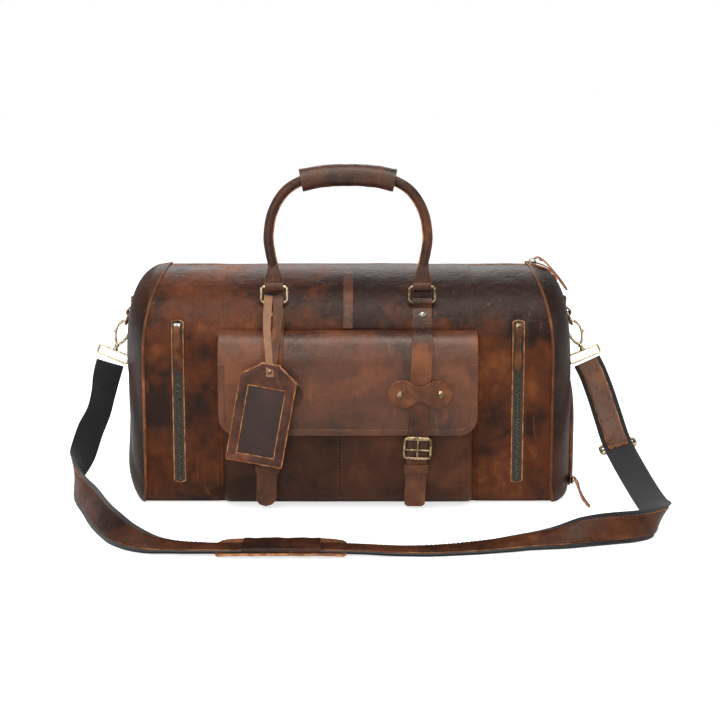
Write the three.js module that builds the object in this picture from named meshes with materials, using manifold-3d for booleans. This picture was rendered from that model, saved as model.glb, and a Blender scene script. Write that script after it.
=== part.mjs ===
// Weekender duffel bag in leather, with a buckled front pocket, two end panels, a shoe compartment,
// two carrying handles on rings, a luggage tag and a detachable shoulder strap.
// Millimetres, +Z up, +X along the bag, the buckled pocket faces -Y.
// The origin is the middle of the base's underside.

import * as THREE from 'three';
import Module from 'manifold-3d';
import { mergeVertices } from 'three/addons/utils/BufferGeometryUtils.js';

// ---------------------------------------------------------------- driving dimensions
const bagHeight = 285;          // base to the top of the mouth
const halfDepth = 120;          // middle to the front or rear face
const shoulderDrop = 85;        // the part of the height in which the sides curve in
const shoulderHeight = bagHeight - shoulderDrop;
const baseCorner = 18;          // radius between base and sides
const wall = 2.5;               // leather thickness
const bodyHalf = 228;           // middle to the end panels
const endBulge = 48;            // how far an end panel stands out
const endTopDrop = 60;          // height of the end panel's rounded shoulder
const endBaseCorner = 24;       // radius at the end panel's foot
const stripX = 150;             // middle to the sewn joins of the front panels
const gap = 0.3;                // clearance between pieces that touch

const mouthHalf = 8;            // half width of the main zip
const lipHingeY = halfDepth - 43;           // middle to the fold line of each mouth lip

const zipX = bodyHalf - 21;               // middle to each upright pocket zip
const zipWidth = 12;
const zipBottom = 28;
const zipTop = shoulderHeight + 28;

const boardHeight = 3;          // stiff base board
const liningWall = 1;
const liningSide = 3.2;         // lining to the outside of the leather
const tunnelHalf = 80;          // shoe compartment, inside
const tunnelTop = 150;
const tunnelInner = 145;
const tunnelWall = 1.2;

const pocketHalf = 152;         // buckled front pocket
const pocketDepth = 25.5;
const pocketBottom = 4;
const pocketTop = shoulderHeight - 14;
const flapHalf = 156;
const flapTop = shoulderHeight + 14.8;
const flapBottom = 93;
const flapThickness = 3;
const flapCorner = 24;

const strapX = 90;              // middle to each buckle strap and handle ring
const strapWidth = 25;
const strapThickness = 3;
const strapSlant = 0.045;       // the buckle straps lean a little off upright
const strapTop = shoulderHeight + 19;           // where a buckle strap leaves its sewn chape

const ringInside = [strapWidth + 3, 16];
const ringWire = 3.2;
const ringY = halfDepth - 13.5;            // the bar that the chape holds
const ringZ = shoulderHeight + 49.5;
const eyeRadius = 5;            // outside of a leather eye round a ring's bar
const eyeHole = 2.6;
const rivetRadius = 4;

const handleRadius = 5.5;
const gripRadius = 12;
const gripHole = 7;
const handleLean = 5;           // degrees, front handle from upright towards the mouth
const rearRingTilt = 105;       // degrees, the rear ring is folded outwards
const rearHandleTilt = 170;     // and its handle hangs down behind

const tagHalf = 34;
const tagHalfLength = 62;
const tagShoulder = 44;
const tagThickness = 3.5;
const tagCentre = [-strapX - 12, ringZ - 126.5];
const tagTurn = 10.4;           // degrees
const tagStrapWidth = 14;

const webWidth = 36;            // shoulder strap
const webThickness = 4;
const padLength = 150;
const padWidth = 64;
const padThickness = 2.5;

// ---------------------------------------------------------------- finishes
const finish = (color, roughness, metalness = 0) =>
  new THREE.MeshStandardMaterial({ color, roughness, metalness });
const leather = finish(0x5a2a16, 0.45);
const darkLeather = finish(0x33180f, 0.5);
const tagLeather = finish(0x4a1c12, 0.45);
const brass = finish(0x9a7b45, 0.35, 1);
const zipCloth = finish(0x3d3a2e, 0.8);
const liningCloth = finish(0x5b4a38, 0.9);
const board = finish(0x2c2826, 0.9);
const webbing = finish(0x17161a, 0.85);

// ---------------------------------------------------------------- solids
const wasm = await Module();
wasm.setup();

function toSolid(geometry) {
  const bare = geometry.clone();
  bare.deleteAttribute('normal');
  bare.deleteAttribute('uv');
  const merged = mergeVertices(bare, 1e-4);
  return new wasm.Manifold(new wasm.Mesh({
    numProp: 3,
    vertProperties: new Float32Array(merged.attributes.position.array),
    triVerts: new Uint32Array(merged.index.array),
  }));
}

function toGeometry(solid) {
  const mesh = solid.getMesh();
  const geometry = new THREE.BufferGeometry();
  geometry.setAttribute('position', new THREE.BufferAttribute(mesh.vertProperties, 3));
  geometry.setIndex(new THREE.BufferAttribute(mesh.triVerts, 1));
  geometry.computeVertexNormals();
  return geometry;
}

const join = (...geometries) =>
  toGeometry(geometries.map(toSolid).reduce((whole, next) => whole.add(next)));
const cut = (geometry, ...tools) =>
  toGeometry(tools.map(toSolid).reduce((left, tool) => left.subtract(tool), toSolid(geometry)));
const common = (...geometries) =>
  toGeometry(geometries.map(toSolid).reduce((kept, next) => kept.intersect(next)));

function extrude(shape, depth, curveSegments = 6) {
  return new THREE.ExtrudeGeometry(shape, { depth, bevelEnabled: false, curveSegments });
}

const axesX = new THREE.Matrix4().set(0, 0, 1, 0, 1, 0, 0, 0, 0, 1, 0, 0, 0, 0, 0, 1);
const axesY = new THREE.Matrix4().set(1, 0, 0, 0, 0, 0, -1, 0, 0, 1, 0, 0, 0, 0, 0, 1);

// A shape drawn in (y, z), from x0 to x1.
function alongX(shape, x0, x1, segments) {
  return extrude(shape, x1 - x0, segments).applyMatrix4(axesX).translate(x0, 0, 0);
}

// A shape drawn in (x, z), from y0 to y1.
function alongY(shape, y0, y1, segments) {
  return extrude(shape, y1 - y0, segments).applyMatrix4(axesY).translate(0, y1, 0);
}

// A shape drawn in (x, y), from z0 to z1.
function alongZ(shape, z0, z1, segments) {
  return extrude(shape, z1 - z0, segments).translate(0, 0, z0);
}

function box(x0, x1, y0, y1, z0, z1) {
  const geometry = new THREE.BoxGeometry(x1 - x0, y1 - y0, z1 - z0);
  return geometry.translate((x0 + x1) / 2, (y0 + y1) / 2, (z0 + z1) / 2);
}

function rectangle(width, height, radius = 0) {
  const shape = new THREE.Shape();
  const w = width / 2;
  const h = height / 2;
  if (!radius) {
    return new THREE.Shape([[-w, -h], [w, -h], [w, h], [-w, h]].map(([u, v]) => new THREE.Vector2(u, v)));
  }
  shape.moveTo(w, -h + radius);
  shape.absarc(w - radius, h - radius, radius, 0, Math.PI / 2);
  shape.absarc(-w + radius, h - radius, radius, Math.PI / 2, Math.PI);
  shape.absarc(-w + radius, -h + radius, radius, Math.PI, Math.PI * 1.5);
  shape.absarc(w - radius, -h + radius, radius, Math.PI * 1.5, Math.PI * 2);
  return shape;
}

function ringShape(insideWidth, insideHeight, wire, radius) {
  const shape = rectangle(insideWidth + 2 * wire, insideHeight + 2 * wire, radius + wire);
  shape.holes.push(new THREE.Path(rectangle(insideWidth, insideHeight, radius).getPoints(2)));
  return shape;
}

function disc(y, z, radius) {
  const shape = new THREE.Shape();
  shape.absarc(y, z, radius, 0, Math.PI * 2);
  return shape;
}

function polygon(points) {
  return new THREE.Shape(points.map(([u, v]) => new THREE.Vector2(u, v)));
}

const model = new THREE.Group();

function add(name, geometry, material, parent = model) {
  const mesh = new THREE.Mesh(geometry, material);
  mesh.name = name;
  parent.add(mesh);
  return mesh;
}

const sides = [['left', -1], ['right', 1]];

// ---------------------------------------------------------------- the bag's outline
// Half width of the bag's section at a height, on the curved shoulder.
const sectionRise = bagHeight - shoulderHeight;

function sectionHalf(z) {
  const up = Math.max(0, z - shoulderHeight) / sectionRise;
  return halfDepth * Math.sqrt(1 - up * up);
}

const lipHingeZ = shoulderHeight + sectionRise * Math.sqrt(1 - (lipHingeY / halfDepth) ** 2);

// The section in (y, z), brought in by an inset at the sides and top, and by foot at the base.
function section(inset, foot = inset) {
  const side = halfDepth - inset;
  const corner = Math.max(2, baseCorner - inset);
  const shape = new THREE.Shape();
  shape.moveTo(-side + corner, foot);
  shape.lineTo(side - corner, foot);
  shape.absarc(side - corner, foot + corner, corner, -Math.PI / 2, 0);
  shape.absellipse(0, shoulderHeight, side, sectionRise - inset, 0, Math.PI);
  shape.absarc(-side + corner, foot + corner, corner, Math.PI, Math.PI * 1.5);
  return shape;
}

const sectionSegments = 12;

function tube(inset, thickness, x0, x1, foot = inset) {
  const outer = alongX(section(inset, foot), x0, x1, sectionSegments);
  const inner = alongX(section(inset + thickness, foot + thickness), x0 - 1, x1 + 1, sectionSegments);
  return cut(outer, inner);
}

// ---------------------------------------------------------------- leather body
const far = 400;
const hem = 0.15;                       // half of the gap at a sewn join
const baseHalf = halfDepth - baseCorner;

add('base_panel', box(-bodyHalf + hem, bodyHalf - hem, -baseHalf + hem, baseHalf - hem, 0, wall), darkLeather);
add('base_board',
  box(-bodyHalf + 8, bodyHalf - 8, -baseHalf + 4, baseHalf - 4, wall + gap, wall + gap + boardHeight), board);

function frontWall(x0, x1) {
  const shell = tube(0, wall, x0 + hem, x1 - hem);
  const region = polygon([
    [-far, -1], [-baseHalf - hem, -1], [-baseHalf - hem, shoulderHeight], [-lipHingeY - gap, shoulderHeight],
    [-lipHingeY - gap, far], [-far, far]]);
  return common(shell, alongX(region, x0, x1));
}

for (const [name, side] of sides) {
  const [x0, x1] = side < 0 ? [-bodyHalf, -stripX] : [stripX, bodyHalf];
  const slot = box(side * zipX - zipWidth / 2, side * zipX + zipWidth / 2, -far, 0, zipBottom, zipTop);
  add(`front_panel_${name}`, cut(frontWall(x0, x1), slot), leather);
  const tapeHalf = zipWidth / 2 - gap;
  const tape = tube(0.8, 1.4, side * zipX - tapeHalf, side * zipX + tapeHalf);
  const window = box(-far, far, -far, 0, zipBottom + gap, zipTop - gap);
  add(`pocket_zip_${name}`, common(tape, window), zipCloth);
}
add('front_panel_middle', frontWall(-stripX, stripX), leather);

const rearWall = frontWall(-bodyHalf, bodyHalf).clone().rotateZ(Math.PI);
add('rear_panel', rearWall, leather);

// ---------------------------------------------------------------- end panels
const endOut = bodyHalf + endBulge;

// The end's outline seen from the front, in (x, z): rounded shoulder on top, small corner at the foot.
function endSide(inset) {
  const points = [[bodyHalf - 5, inset], [endOut - endBaseCorner, inset]];
  const steps = 4;
  const corner = endBaseCorner - inset;
  for (let i = 1; i <= steps; i++) {
    const turn = (i / steps) * Math.PI / 2;
    points.push([
      endOut - endBaseCorner + corner * Math.sin(turn),
      endBaseCorner - corner * Math.cos(turn)]);
  }
  const rise = endTopDrop - inset;
  const reach = endBulge - inset;
  const power = 2 / 2.2;
  for (let i = 0; i <= 6; i++) {
    const turn = (i / 6) * Math.PI / 2;
    points.push([
      bodyHalf + reach * Math.cos(turn) ** power,
      bagHeight - endTopDrop + rise * Math.sin(turn) ** power]);
  }
  points.push([bodyHalf - 5, bagHeight - inset]);
  return polygon(points);
}

// The end's outline seen from above, in (x, y): nearly flat, with rounded edges.
function endPlan(inset) {
  const half = halfDepth + 2 - inset;
  const reach = endBulge - inset;
  const points = [[bodyHalf - 5, -half], [bodyHalf - 5, half]];
  const steps = 12;
  for (let i = 0; i <= steps; i++) {
    const turn = Math.PI / 2 - (i / steps) * Math.PI;
    const across = Math.sign(Math.sin(turn)) * Math.sqrt(Math.abs(Math.sin(turn)));
    points.push([bodyHalf + reach * Math.sqrt(Math.abs(Math.cos(turn))), half * across]);
  }
  return polygon(points.reverse());
}

function endForm(inset, x0) {
  return common(
    alongX(section(inset), x0, endOut + 1, sectionSegments),
    alongY(endSide(inset), -halfDepth - 5, halfDepth + 5),
    alongZ(endPlan(inset), -1, bagHeight + 1));
}

const archHalf = 78;            // shoe compartment's door
const archTop = 150;
const archBottom = 14;
const archCorner = 58;
const archRim = 12;             // door's overlap on the end panel

// The door's outline in (y, z): upright sides and two round shoulders.
function arch(inset) {
  const half = archHalf - inset;
  const radius = archCorner - inset;
  const shape = new THREE.Shape();
  shape.moveTo(-half, archBottom + inset);
  shape.lineTo(half, archBottom + inset);
  shape.absarc(half - radius, archTop - inset - radius, radius, 0, Math.PI / 2);
  shape.absarc(-half + radius, archTop - inset - radius, radius, Math.PI / 2, Math.PI);
  return shape;
}

const endShell = cut(endForm(0, bodyHalf + hem), endForm(wall, bodyHalf - 3));
const doorway = alongX(arch(archRim), bodyHalf + 20, endOut + 5);
add('end_panel_left', endShell.clone().rotateZ(Math.PI), leather);
add('end_panel_right', cut(endShell, doorway), leather);

// ---------------------------------------------------------------- inside
const liningFoot = wall + boardHeight + 2 * gap;
const liningX = [-bodyHalf + 4, tunnelInner - 2];
const liningTube = tube(liningSide, liningWall, liningX[0], liningX[1], liningFoot);
const liningCut = box(-far, far, -far, far, lipHingeZ - 8, far);
add('lining', cut(liningTube, liningCut), liningCloth);

function tunnelShape(inset) {
  const half = tunnelHalf - inset;
  const radius = archCorner - inset;
  const foot = liningFoot + liningWall + inset;
  const shape = new THREE.Shape();
  shape.moveTo(-half, foot);
  shape.lineTo(half, foot);
  shape.absarc(half - radius, tunnelTop - inset - radius, radius, 0, Math.PI / 2);
  shape.absarc(-half + radius, tunnelTop - inset - radius, radius, Math.PI / 2, Math.PI);
  return shape;
}

const tunnelOuter = endOut - endBaseCorner;
add('shoe_tunnel', cut(
  alongX(tunnelShape(0), tunnelInner, tunnelOuter),
  alongX(tunnelShape(tunnelWall), tunnelInner + tunnelWall, tunnelOuter + 1)), liningCloth);

// ---------------------------------------------------------------- mouth: lips, zip and slider
const tapeReach = 5;            // zip tape seen beyond a lip's edge
for (const [name, side] of [['front', -1], ['rear', 1]]) {
  const low = Math.min(side * lipHingeY, side * mouthHalf) + hem;
  const high = Math.max(side * lipHingeY, side * mouthHalf) - hem;
  const shell = tube(0, wall, -bodyHalf + hem, bodyHalf - hem);
  add(`${name}_lip`, common(shell, box(-far, far, low, high, shoulderHeight, far)), leather);
  const edge = side * mouthHalf - side * gap;
  const inner = side * (mouthHalf - tapeReach);
  const tape = tube(0.4, 1.6, -bodyHalf + 2, bodyHalf - 2);
  const strip = box(-far, far, Math.min(edge, inner), Math.max(edge, inner), shoulderHeight, far);
  add(`main_zip_tape_${name}`, common(tape, strip), zipCloth);
}

const sliderHeight = 4;
const mainSliderX = bodyHalf + 7;
const sliderBase = bagHeight + gap;

// A slider from above: broad at the nose, narrow at the tail.
function sliderShape(length, width) {
  const l = length / 2;
  const w = width / 2;
  return polygon([[-l, -w * 0.6], [l * 0.4, -w], [l, -w * 0.5], [l, w * 0.5], [l * 0.4, w], [-l, w * 0.6]]);
}

add('main_zip_slider',
  alongZ(sliderShape(12, 10), sliderBase, sliderBase + sliderHeight).translate(mainSliderX, 0, 0), brass);

// A leather pull, hanging from its hinge at the origin down -Z, with its face to -Y.
function pull(length, width, thickness) {
  const top = width * 0.28;
  const bottom = width / 2;
  const outline = polygon([[-top, 0], [-bottom, -length * 0.35], [-bottom, -length + 3],
    [-bottom + 3, -length], [bottom - 3, -length], [bottom, -length + 3], [bottom, -length * 0.35], [top, 0]]);
  return alongY(outline, -thickness / 2, thickness / 2);
}

const pullThickness = 2.4;
const mainPull = [mainSliderX + 6.6, 0, sliderBase + sliderHeight + 1.4];
const mainPullDrop = 42.7;      // degrees below level, over the end's shoulder
const mainPullMesh = add('main_zip_pull', pull(56, 13, pullThickness), leather);
mainPullMesh.position.set(...mainPull);
mainPullMesh.rotation.set(0, THREE.MathUtils.degToRad(-90 + mainPullDrop), Math.PI / 2, 'YZX');

// ---------------------------------------------------------------- upright pocket zips: sliders and pulls
const pocketSliderZ = zipTop - 8;
for (const [name, side] of sides) {
  const slider = alongY(sliderShape(10, 9), -halfDepth - gap - 3.6, -halfDepth - gap);
  slider.rotateY(-Math.PI / 2).translate(side * zipX, 0, pocketSliderZ);
  add(`pocket_slider_${name}`, slider, brass);
  const hanging = pull(54, 12, pullThickness);
  hanging.translate(side * zipX, -halfDepth - gap - 3.6 - gap - pullThickness / 2, pocketSliderZ);
  add(`pocket_pull_${name}`, hanging, leather);
}

// ---------------------------------------------------------------- shoe compartment door
const doorPlate = 3;
const doorPuff = 6;
const door = new THREE.ExtrudeGeometry(arch(doorPuff), {
  depth: doorPlate, bevelEnabled: true, bevelThickness: doorPuff, bevelSize: doorPuff,
  bevelSegments: 2, curveSegments: 6 });
door.applyMatrix4(axesX).translate(endOut + gap, 0, 0);
add('shoe_door', common(door, box(endOut + gap, far, -far, far, 0, far)), leather);

const shoeSliderY = -archHalf - 8;
const shoeSliderX = endOut + gap;
const shoeSliderZ = archBottom + 8;
const shoeSlider = alongX(sliderShape(10, 9), shoeSliderX, shoeSliderX + sliderHeight).rotateX(Math.PI / 2);
add('shoe_slider', shoeSlider.translate(0, shoeSliderY, shoeSliderZ), brass);

const shoePull = [shoeSliderX + sliderHeight + 1.6, shoeSliderY - 1, shoeSliderZ];
const shoePullMesh = add('shoe_pull', pull(58, 12, pullThickness).rotateZ(Math.PI / 2), leather);
shoePullMesh.position.set(...shoePull);
shoePullMesh.rotation.set(THREE.MathUtils.degToRad(-72), 0, THREE.MathUtils.degToRad(7), 'ZXY');

// ---------------------------------------------------------------- buckled front pocket
const pocketFront = -halfDepth - pocketDepth;
add('pocket_body', cut(
  box(-pocketHalf, pocketHalf, pocketFront, -halfDepth - gap, pocketBottom, pocketTop),
  box(-pocketHalf + wall, pocketHalf - wall, pocketFront + wall, 0, pocketBottom + wall, far)), leather);

// The flap's section in (y, z): sewn at the top, over the pocket's edge, and down its front.
const flapFace = pocketFront - 1.3 - flapThickness;
const flapTurn = flapTop - 31;

function flapSection(lift, thickness, topLift, bottom) {
  const outer = flapFace - lift - thickness;
  const inner = flapFace - lift;
  const root = -halfDepth - 1.3;
  const shape = new THREE.Shape();
  shape.moveTo(root, flapTop + topLift + thickness);
  shape.quadraticCurveTo(outer + 3.5, flapTop + topLift - 2.5 + thickness, outer, flapTurn);
  for (const [y, z] of bottom(outer)) shape.lineTo(y, z);
  for (const [y, z] of bottom(inner).reverse()) shape.lineTo(y, z);
  shape.lineTo(inner, flapTurn);
  shape.quadraticCurveTo(inner + 3.5, flapTop + topLift - 2.5, root, flapTop + topLift);
  return shape;
}

const flapSolid = alongX(
  flapSection(-flapThickness, flapThickness, -flapThickness, (y) => [[y, flapBottom]]), -flapHalf, flapHalf);
const flapFrame = rectangle(2 * flapHalf, 2 * (flapTop - flapBottom), flapCorner);
add('flap', common(flapSolid, alongY(flapFrame, -far, 0).translate(0, 0, flapTop)), leather);

// Buckle strap over the flap, with its keeper loop, tail and leaning side.
const loopZ = 52;
const loopHeight = 9;
const strapLift = gap;
const strapFace = flapFace - strapLift - strapThickness;
const buckleZ = 78;
const buckleInside = [28.5, 21];
const buckleWire = 3.4;
const keeperZ = 144;
const keeperHalf = [39, 16.5];
const keeperNeck = 8;
const keeperRivetX = 24;
const plateThickness = 2.5;

const strapShift = (z) => strapSlant * (z - strapTop);

function tail(y) {
  return [[y, 44], [y - 5, 6]];
}

function keeperShape() {
  const [w, h] = keeperHalf;
  const shape = new THREE.Shape();
  shape.moveTo(0, -keeperNeck);
  shape.quadraticCurveTo(w * 0.3, -keeperNeck, w * 0.42, -h * 0.85);
  shape.quadraticCurveTo(w, -h * 1.25, w, 0);
  shape.quadraticCurveTo(w, h * 1.25, w * 0.42, h * 0.85);
  shape.quadraticCurveTo(w * 0.3, keeperNeck, 0, keeperNeck);
  shape.quadraticCurveTo(-w * 0.3, keeperNeck, -w * 0.42, h * 0.85);
  shape.quadraticCurveTo(-w, h * 1.25, -w, 0);
  shape.quadraticCurveTo(-w, -h * 1.25, -w * 0.42, -h * 0.85);
  shape.quadraticCurveTo(-w * 0.3, -keeperNeck, 0, -keeperNeck);
  return shape;
}

function rivet(x, z, y0, y1) {
  const head = new THREE.CylinderGeometry(rivetRadius, rivetRadius, y1 - y0, 10);
  return head.translate(x, (y0 + y1) / 2, z);
}

for (const [name, side] of sides) {
  const half = strapWidth / 2;
  const strap = alongX(flapSection(strapLift, strapThickness, strapLift, tail), -half, half);
  const loop = box(-half - 3, half + 3, strapFace - plateThickness, strapFace + strapThickness + 0.1,
    loopZ - loopHeight / 2, loopZ + loopHeight / 2);
  const whole = join(strap, loop);
  whole.applyMatrix4(new THREE.Matrix4().makeTranslation(0, 0, -strapTop));
  const position = whole.attributes.position;
  for (let i = 0; i < position.count; i++) {
    position.setX(i, position.getX(i) + strapSlant * position.getZ(i));
  }
  whole.translate(side * strapX, 0, strapTop);
  add(`buckle_strap_${name}`, whole, leather);

  const plate = alongY(keeperShape(), strapFace - gap - plateThickness, strapFace - gap);
  const heads = [-1, 1].map((s) =>
    rivet(s * keeperRivetX, 0, strapFace - gap - plateThickness - 1.6, flapFace - gap));
  const keeper = join(plate, ...heads);
  add(`strap_keeper_${name}`, keeper, leather).position.set(side * strapX + strapShift(keeperZ), 0, keeperZ);

  const frame = alongY(ringShape(...buckleInside, buckleWire, 2.5), strapFace - gap - buckleWire, strapFace - gap);
  add(`buckle_${name}`, frame, brass).position.set(side * strapX + strapShift(buckleZ), 0, buckleZ);
  const prongY = strapFace - 2 * gap - buckleWire;
  const prong = box(-1.6, 1.6, prongY - 2.2, prongY, -buckleInside[1] / 2 - 2.4, buckleInside[1] / 2 + 2.4);
  add(`buckle_prong_${name}`, prong, brass).position.set(side * strapX + strapShift(buckleZ), 0, buckleZ);
}

// ---------------------------------------------------------------- ring chapes, rings and handles
const ringPitch = ringInside[1] + ringWire;     // between a ring's two bars

function chape() {
  const half = strapWidth / 2 - 0.5;
  const band = cut(
    alongX(section(-gap - strapThickness), -half, half, sectionSegments),
    alongX(section(-gap), -half - 1, half + 1, sectionSegments));
  const region = polygon([
    [-far, strapTop + gap], [-1, strapTop + gap], [-1, ringZ - 9], [-ringY + 4, ringZ], [-far, ringZ]]);
  const sewn = common(band, alongX(region, -half - 1, half + 1));
  const eye = alongX(disc(-ringY, ringZ, eyeRadius), -half, half, 6);
  const headZ = strapTop + 17;
  const head = rivet(0, headZ, -sectionHalf(headZ) - 6.5, -sectionHalf(headZ - rivetRadius) - 2 * gap);
  return cut(join(sewn, eye, head), alongX(disc(-ringY, ringZ, eyeHole), -half - 1, half + 1, 5));
}

const ringPlate = alongY(ringShape(...ringInside, ringWire, 3), -ringWire / 2, ringWire / 2);
ringPlate.translate(0, 0, ringPitch / 2);

// The handle in (x, z) above its rings' upper bars.
const archPoints = [[90, 20], [95, 42], [97, 62], [92, 90], [78, 114], [57, 128], [30, 133], [0, 134.5]];
const archPath = [
  ...archPoints.map(([x, z]) => new THREE.Vector3(-x, 0, z)),
  ...archPoints.slice(0, -1).reverse().map(([x, z]) => new THREE.Vector3(x, 0, z))];
const gripPoints = archPoints.slice(5);
const gripPath = [
  ...gripPoints.map(([x, z]) => new THREE.Vector3(-x, 0, z)),
  ...gripPoints.slice(0, -1).reverse().map(([x, z]) => new THREE.Vector3(x, 0, z))];

function sweep(shape, points, steps) {
  const extrudePath = new THREE.CatmullRomCurve3(points, false, 'centripetal');
  return new THREE.ExtrudeGeometry(shape, { extrudePath, steps, curveSegments: 4 });
}

function handle() {
  const pieces = [sweep(disc(0, 0, handleRadius), archPath, 40)];
  const holes = [];
  for (const side of [-1, 1]) {
    const half = strapWidth / 2 - 1;
    const fan = polygon([[-half, 2], [half, 2], [half, 6], [handleRadius * 0.9, 25], [-handleRadius * 0.9, 25], [-half, 6]]);
    pieces.push(alongY(fan, -2.6, 2.6).translate(side * strapX, 0, 0));
    pieces.push(alongX(disc(0, 0, eyeRadius), -half, half, 6).translate(side * strapX, 0, 0));
    holes.push(alongX(disc(0, 0, eyeHole), -half - 1, half + 1, 5).translate(side * strapX, 0, 0));
  }
  return cut(join(...pieces), ...holes);
}

function grip() {
  const ring = disc(0, 0, gripRadius);
  ring.holes.push(new THREE.Path(disc(0, 0, gripHole).getPoints(4)));
  return sweep(ring, gripPath, 10);
}

// Each side: a tilt of the rings and of the handle from upright, outwards.
const carriers = [['front', 1, 0, -handleLean], ['rear', -1, rearRingTilt, rearHandleTilt]];
for (const [name, facing, ringTilt, handleTilt] of carriers) {
  const bench = new THREE.Group();
  bench.rotation.z = facing > 0 ? 0 : Math.PI;
  model.add(bench);
  const rings = new THREE.Group();
  rings.position.set(0, -ringY, ringZ);
  rings.rotation.x = THREE.MathUtils.degToRad(ringTilt);
  bench.add(rings);
  for (const [sideName, side] of sides) {
    const x = facing * side * strapX;
    const sewn = add(`${name}_chape_${sideName}`, chape(), leather, bench);
    sewn.position.x = x;
    const ring = add(`${name}_ring_${sideName}`, ringPlate, brass, rings);
    ring.position.x = x;
  }
  const carried = new THREE.Group();
  carried.position.set(0, 0, ringPitch);
  carried.rotation.x = THREE.MathUtils.degToRad(handleTilt - ringTilt);
  rings.add(carried);
  add(`${name}_handle`, handle(), leather, carried);
  add(`${name}_grip`, grip(), leather, carried);
}

// ---------------------------------------------------------------- luggage tag
const tagStrapThickness = 2.4;
const tagFace = -halfDepth - pocketDepth - 19;
const tagBendZ = ringZ - 64.5;           // where the strap's strands turn down flat
const tagEndZ = ringZ - 81.5;
const hookInner = 6.2;          // inside of the strap's bend over the ring's bar
const hookStart = THREE.MathUtils.degToRad(95);
const hookTurnOff = THREE.MathUtils.degToRad(128);

// The strap in (y, z): over the ring's bar, then out and down to the tag.
function tagStrap() {
  const half = tagStrapWidth / 2;
  const crook = new THREE.Shape();
  crook.absarc(-ringY, ringZ, hookInner + tagStrapThickness, hookStart, hookTurnOff, false);
  crook.lineTo(tagFace, tagBendZ + 1);
  crook.lineTo(tagFace, tagEndZ);
  crook.lineTo(tagFace + tagStrapThickness, tagEndZ);
  crook.lineTo(tagFace + tagStrapThickness, tagBendZ);
  crook.absarc(-ringY, ringZ, hookInner, hookTurnOff, hookStart, true);
  return alongX(crook, -half, half, 6);
}
add('tag_strap', tagStrap(), leather).position.x = -strapX - 1;

const tagPlate = new THREE.Group();
tagPlate.position.set(tagCentre[0], tagFace - gap, tagCentre[1]);
tagPlate.rotation.y = THREE.MathUtils.degToRad(tagTurn);
model.add(tagPlate);
const tagOutline = polygon([
  [-tagHalf, -tagHalfLength + 5], [-tagHalf + 5, -tagHalfLength], [tagHalf - 5, -tagHalfLength],
  [tagHalf, -tagHalfLength + 5], [tagHalf, tagShoulder], [10, tagHalfLength], [-10, tagHalfLength],
  [-tagHalf, tagShoulder]]);
add('tag_panel', alongY(tagOutline, -tagThickness, 0), tagLeather, tagPlate);

// ---------------------------------------------------------------- strap ends: tabs, D-rings and hooks
const dBar = [endOut + 4.5, shoulderHeight + 24];       // D-ring's bar in (x, z)
const dTilt = 24;                       // degrees, D-ring off upright
const dInside = [22, 17];
const dWire = 3.2;
const hookInside = [13, 29];
const hookWire = 3.4;
const hookTurn = 23.5;                  // degrees, strap's pull off upright
const loopInside = [38, 8];

function dShape() {
  const half = dInside[0] / 2;
  const outer = new THREE.Shape();
  outer.moveTo(-half - dWire, dWire / 2);
  outer.lineTo(-half - dWire, -dInside[1] + half);
  outer.absarc(0, -dInside[1] + half, half + dWire, Math.PI, Math.PI * 2);
  outer.lineTo(half + dWire, dWire / 2);
  const inner = new THREE.Path();
  inner.moveTo(-half, -dWire / 2);
  inner.lineTo(-half, -dInside[1] + half);
  inner.absarc(0, -dInside[1] + half, half, Math.PI, Math.PI * 2);
  inner.lineTo(half, -dWire / 2);
  outer.holes.push(inner);
  return outer;
}

function dTab() {
  const half = dInside[0] / 2 - 1;
  const eye = alongY(disc(dBar[0], dBar[1], 4), -half, half, 5);
  const sewn = box(endOut + gap, endOut + gap + 2.2, -half, half, dBar[1] - 2, dBar[1] + 20);
  return cut(join(eye, sewn), alongY(disc(dBar[0], dBar[1], eyeHole), -half - 1, half + 1, 5));
}

// The hook hangs down -Z from the D-ring's wire at the origin: an oval with a gate, a shank and a strap loop.
const hookPlay = 1.6;
const hookCentre = -hookInside[1] / 2 + dWire / 2 + hookPlay;
const hookBottom = hookCentre - hookInside[1] / 2 - hookWire;
const shankLength = 7;
const loopCentre = hookBottom - shankLength - loopInside[1] / 2 - 2;
const gateLow = hookCentre - 5;
const gateHigh = hookCentre + 6;

function hook() {
  const half = hookWire / 2;
  const oval = alongY(ringShape(...hookInside, hookWire, hookInside[0] / 2 - 0.5), -half, half, 4);
  oval.translate(0, 0, hookCentre);
  const gateway = box(hookInside[0] / 2 - 1, far, -far, far, gateLow, gateHigh);
  const shank = box(-3.5, 3.5, -half, half, hookBottom - shankLength, hookBottom + 1);
  const loop = alongY(ringShape(...loopInside, 3, 1.5), -half, half, 3).translate(0, 0, loopCentre);
  return cut(join(oval, shank, loop), gateway);
}

function gate() {
  const half = hookWire / 2;
  return box(hookInside[0] / 2, hookInside[0] / 2 + hookWire, -half, half, gateLow + gap, gateHigh - gap);
}

for (const [name, side] of sides) {
  const end = new THREE.Group();
  end.rotation.z = side > 0 ? 0 : Math.PI;
  model.add(end);
  add(`d_ring_tab_${name}`, dTab(), leather, end);
  const dRing = new THREE.Group();
  dRing.position.set(dBar[0], 0, dBar[1]);
  dRing.rotation.y = THREE.MathUtils.degToRad(-dTilt);
  end.add(dRing);
  const plate = alongX(dShape(), -dWire / 2, dWire / 2, 6);
  add(`d_ring_${name}`, plate, brass, dRing);
  const hanging = new THREE.Group();
  hanging.position.set(0, 0, -dInside[1] - dWire / 2);
  hanging.rotation.y = THREE.MathUtils.degToRad(dTilt - hookTurn);
  dRing.add(hanging);
  add(`strap_hook_${name}`, hook(), brass, hanging);
  add(`hook_gate_${name}`, gate(), brass, hanging);
}

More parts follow.
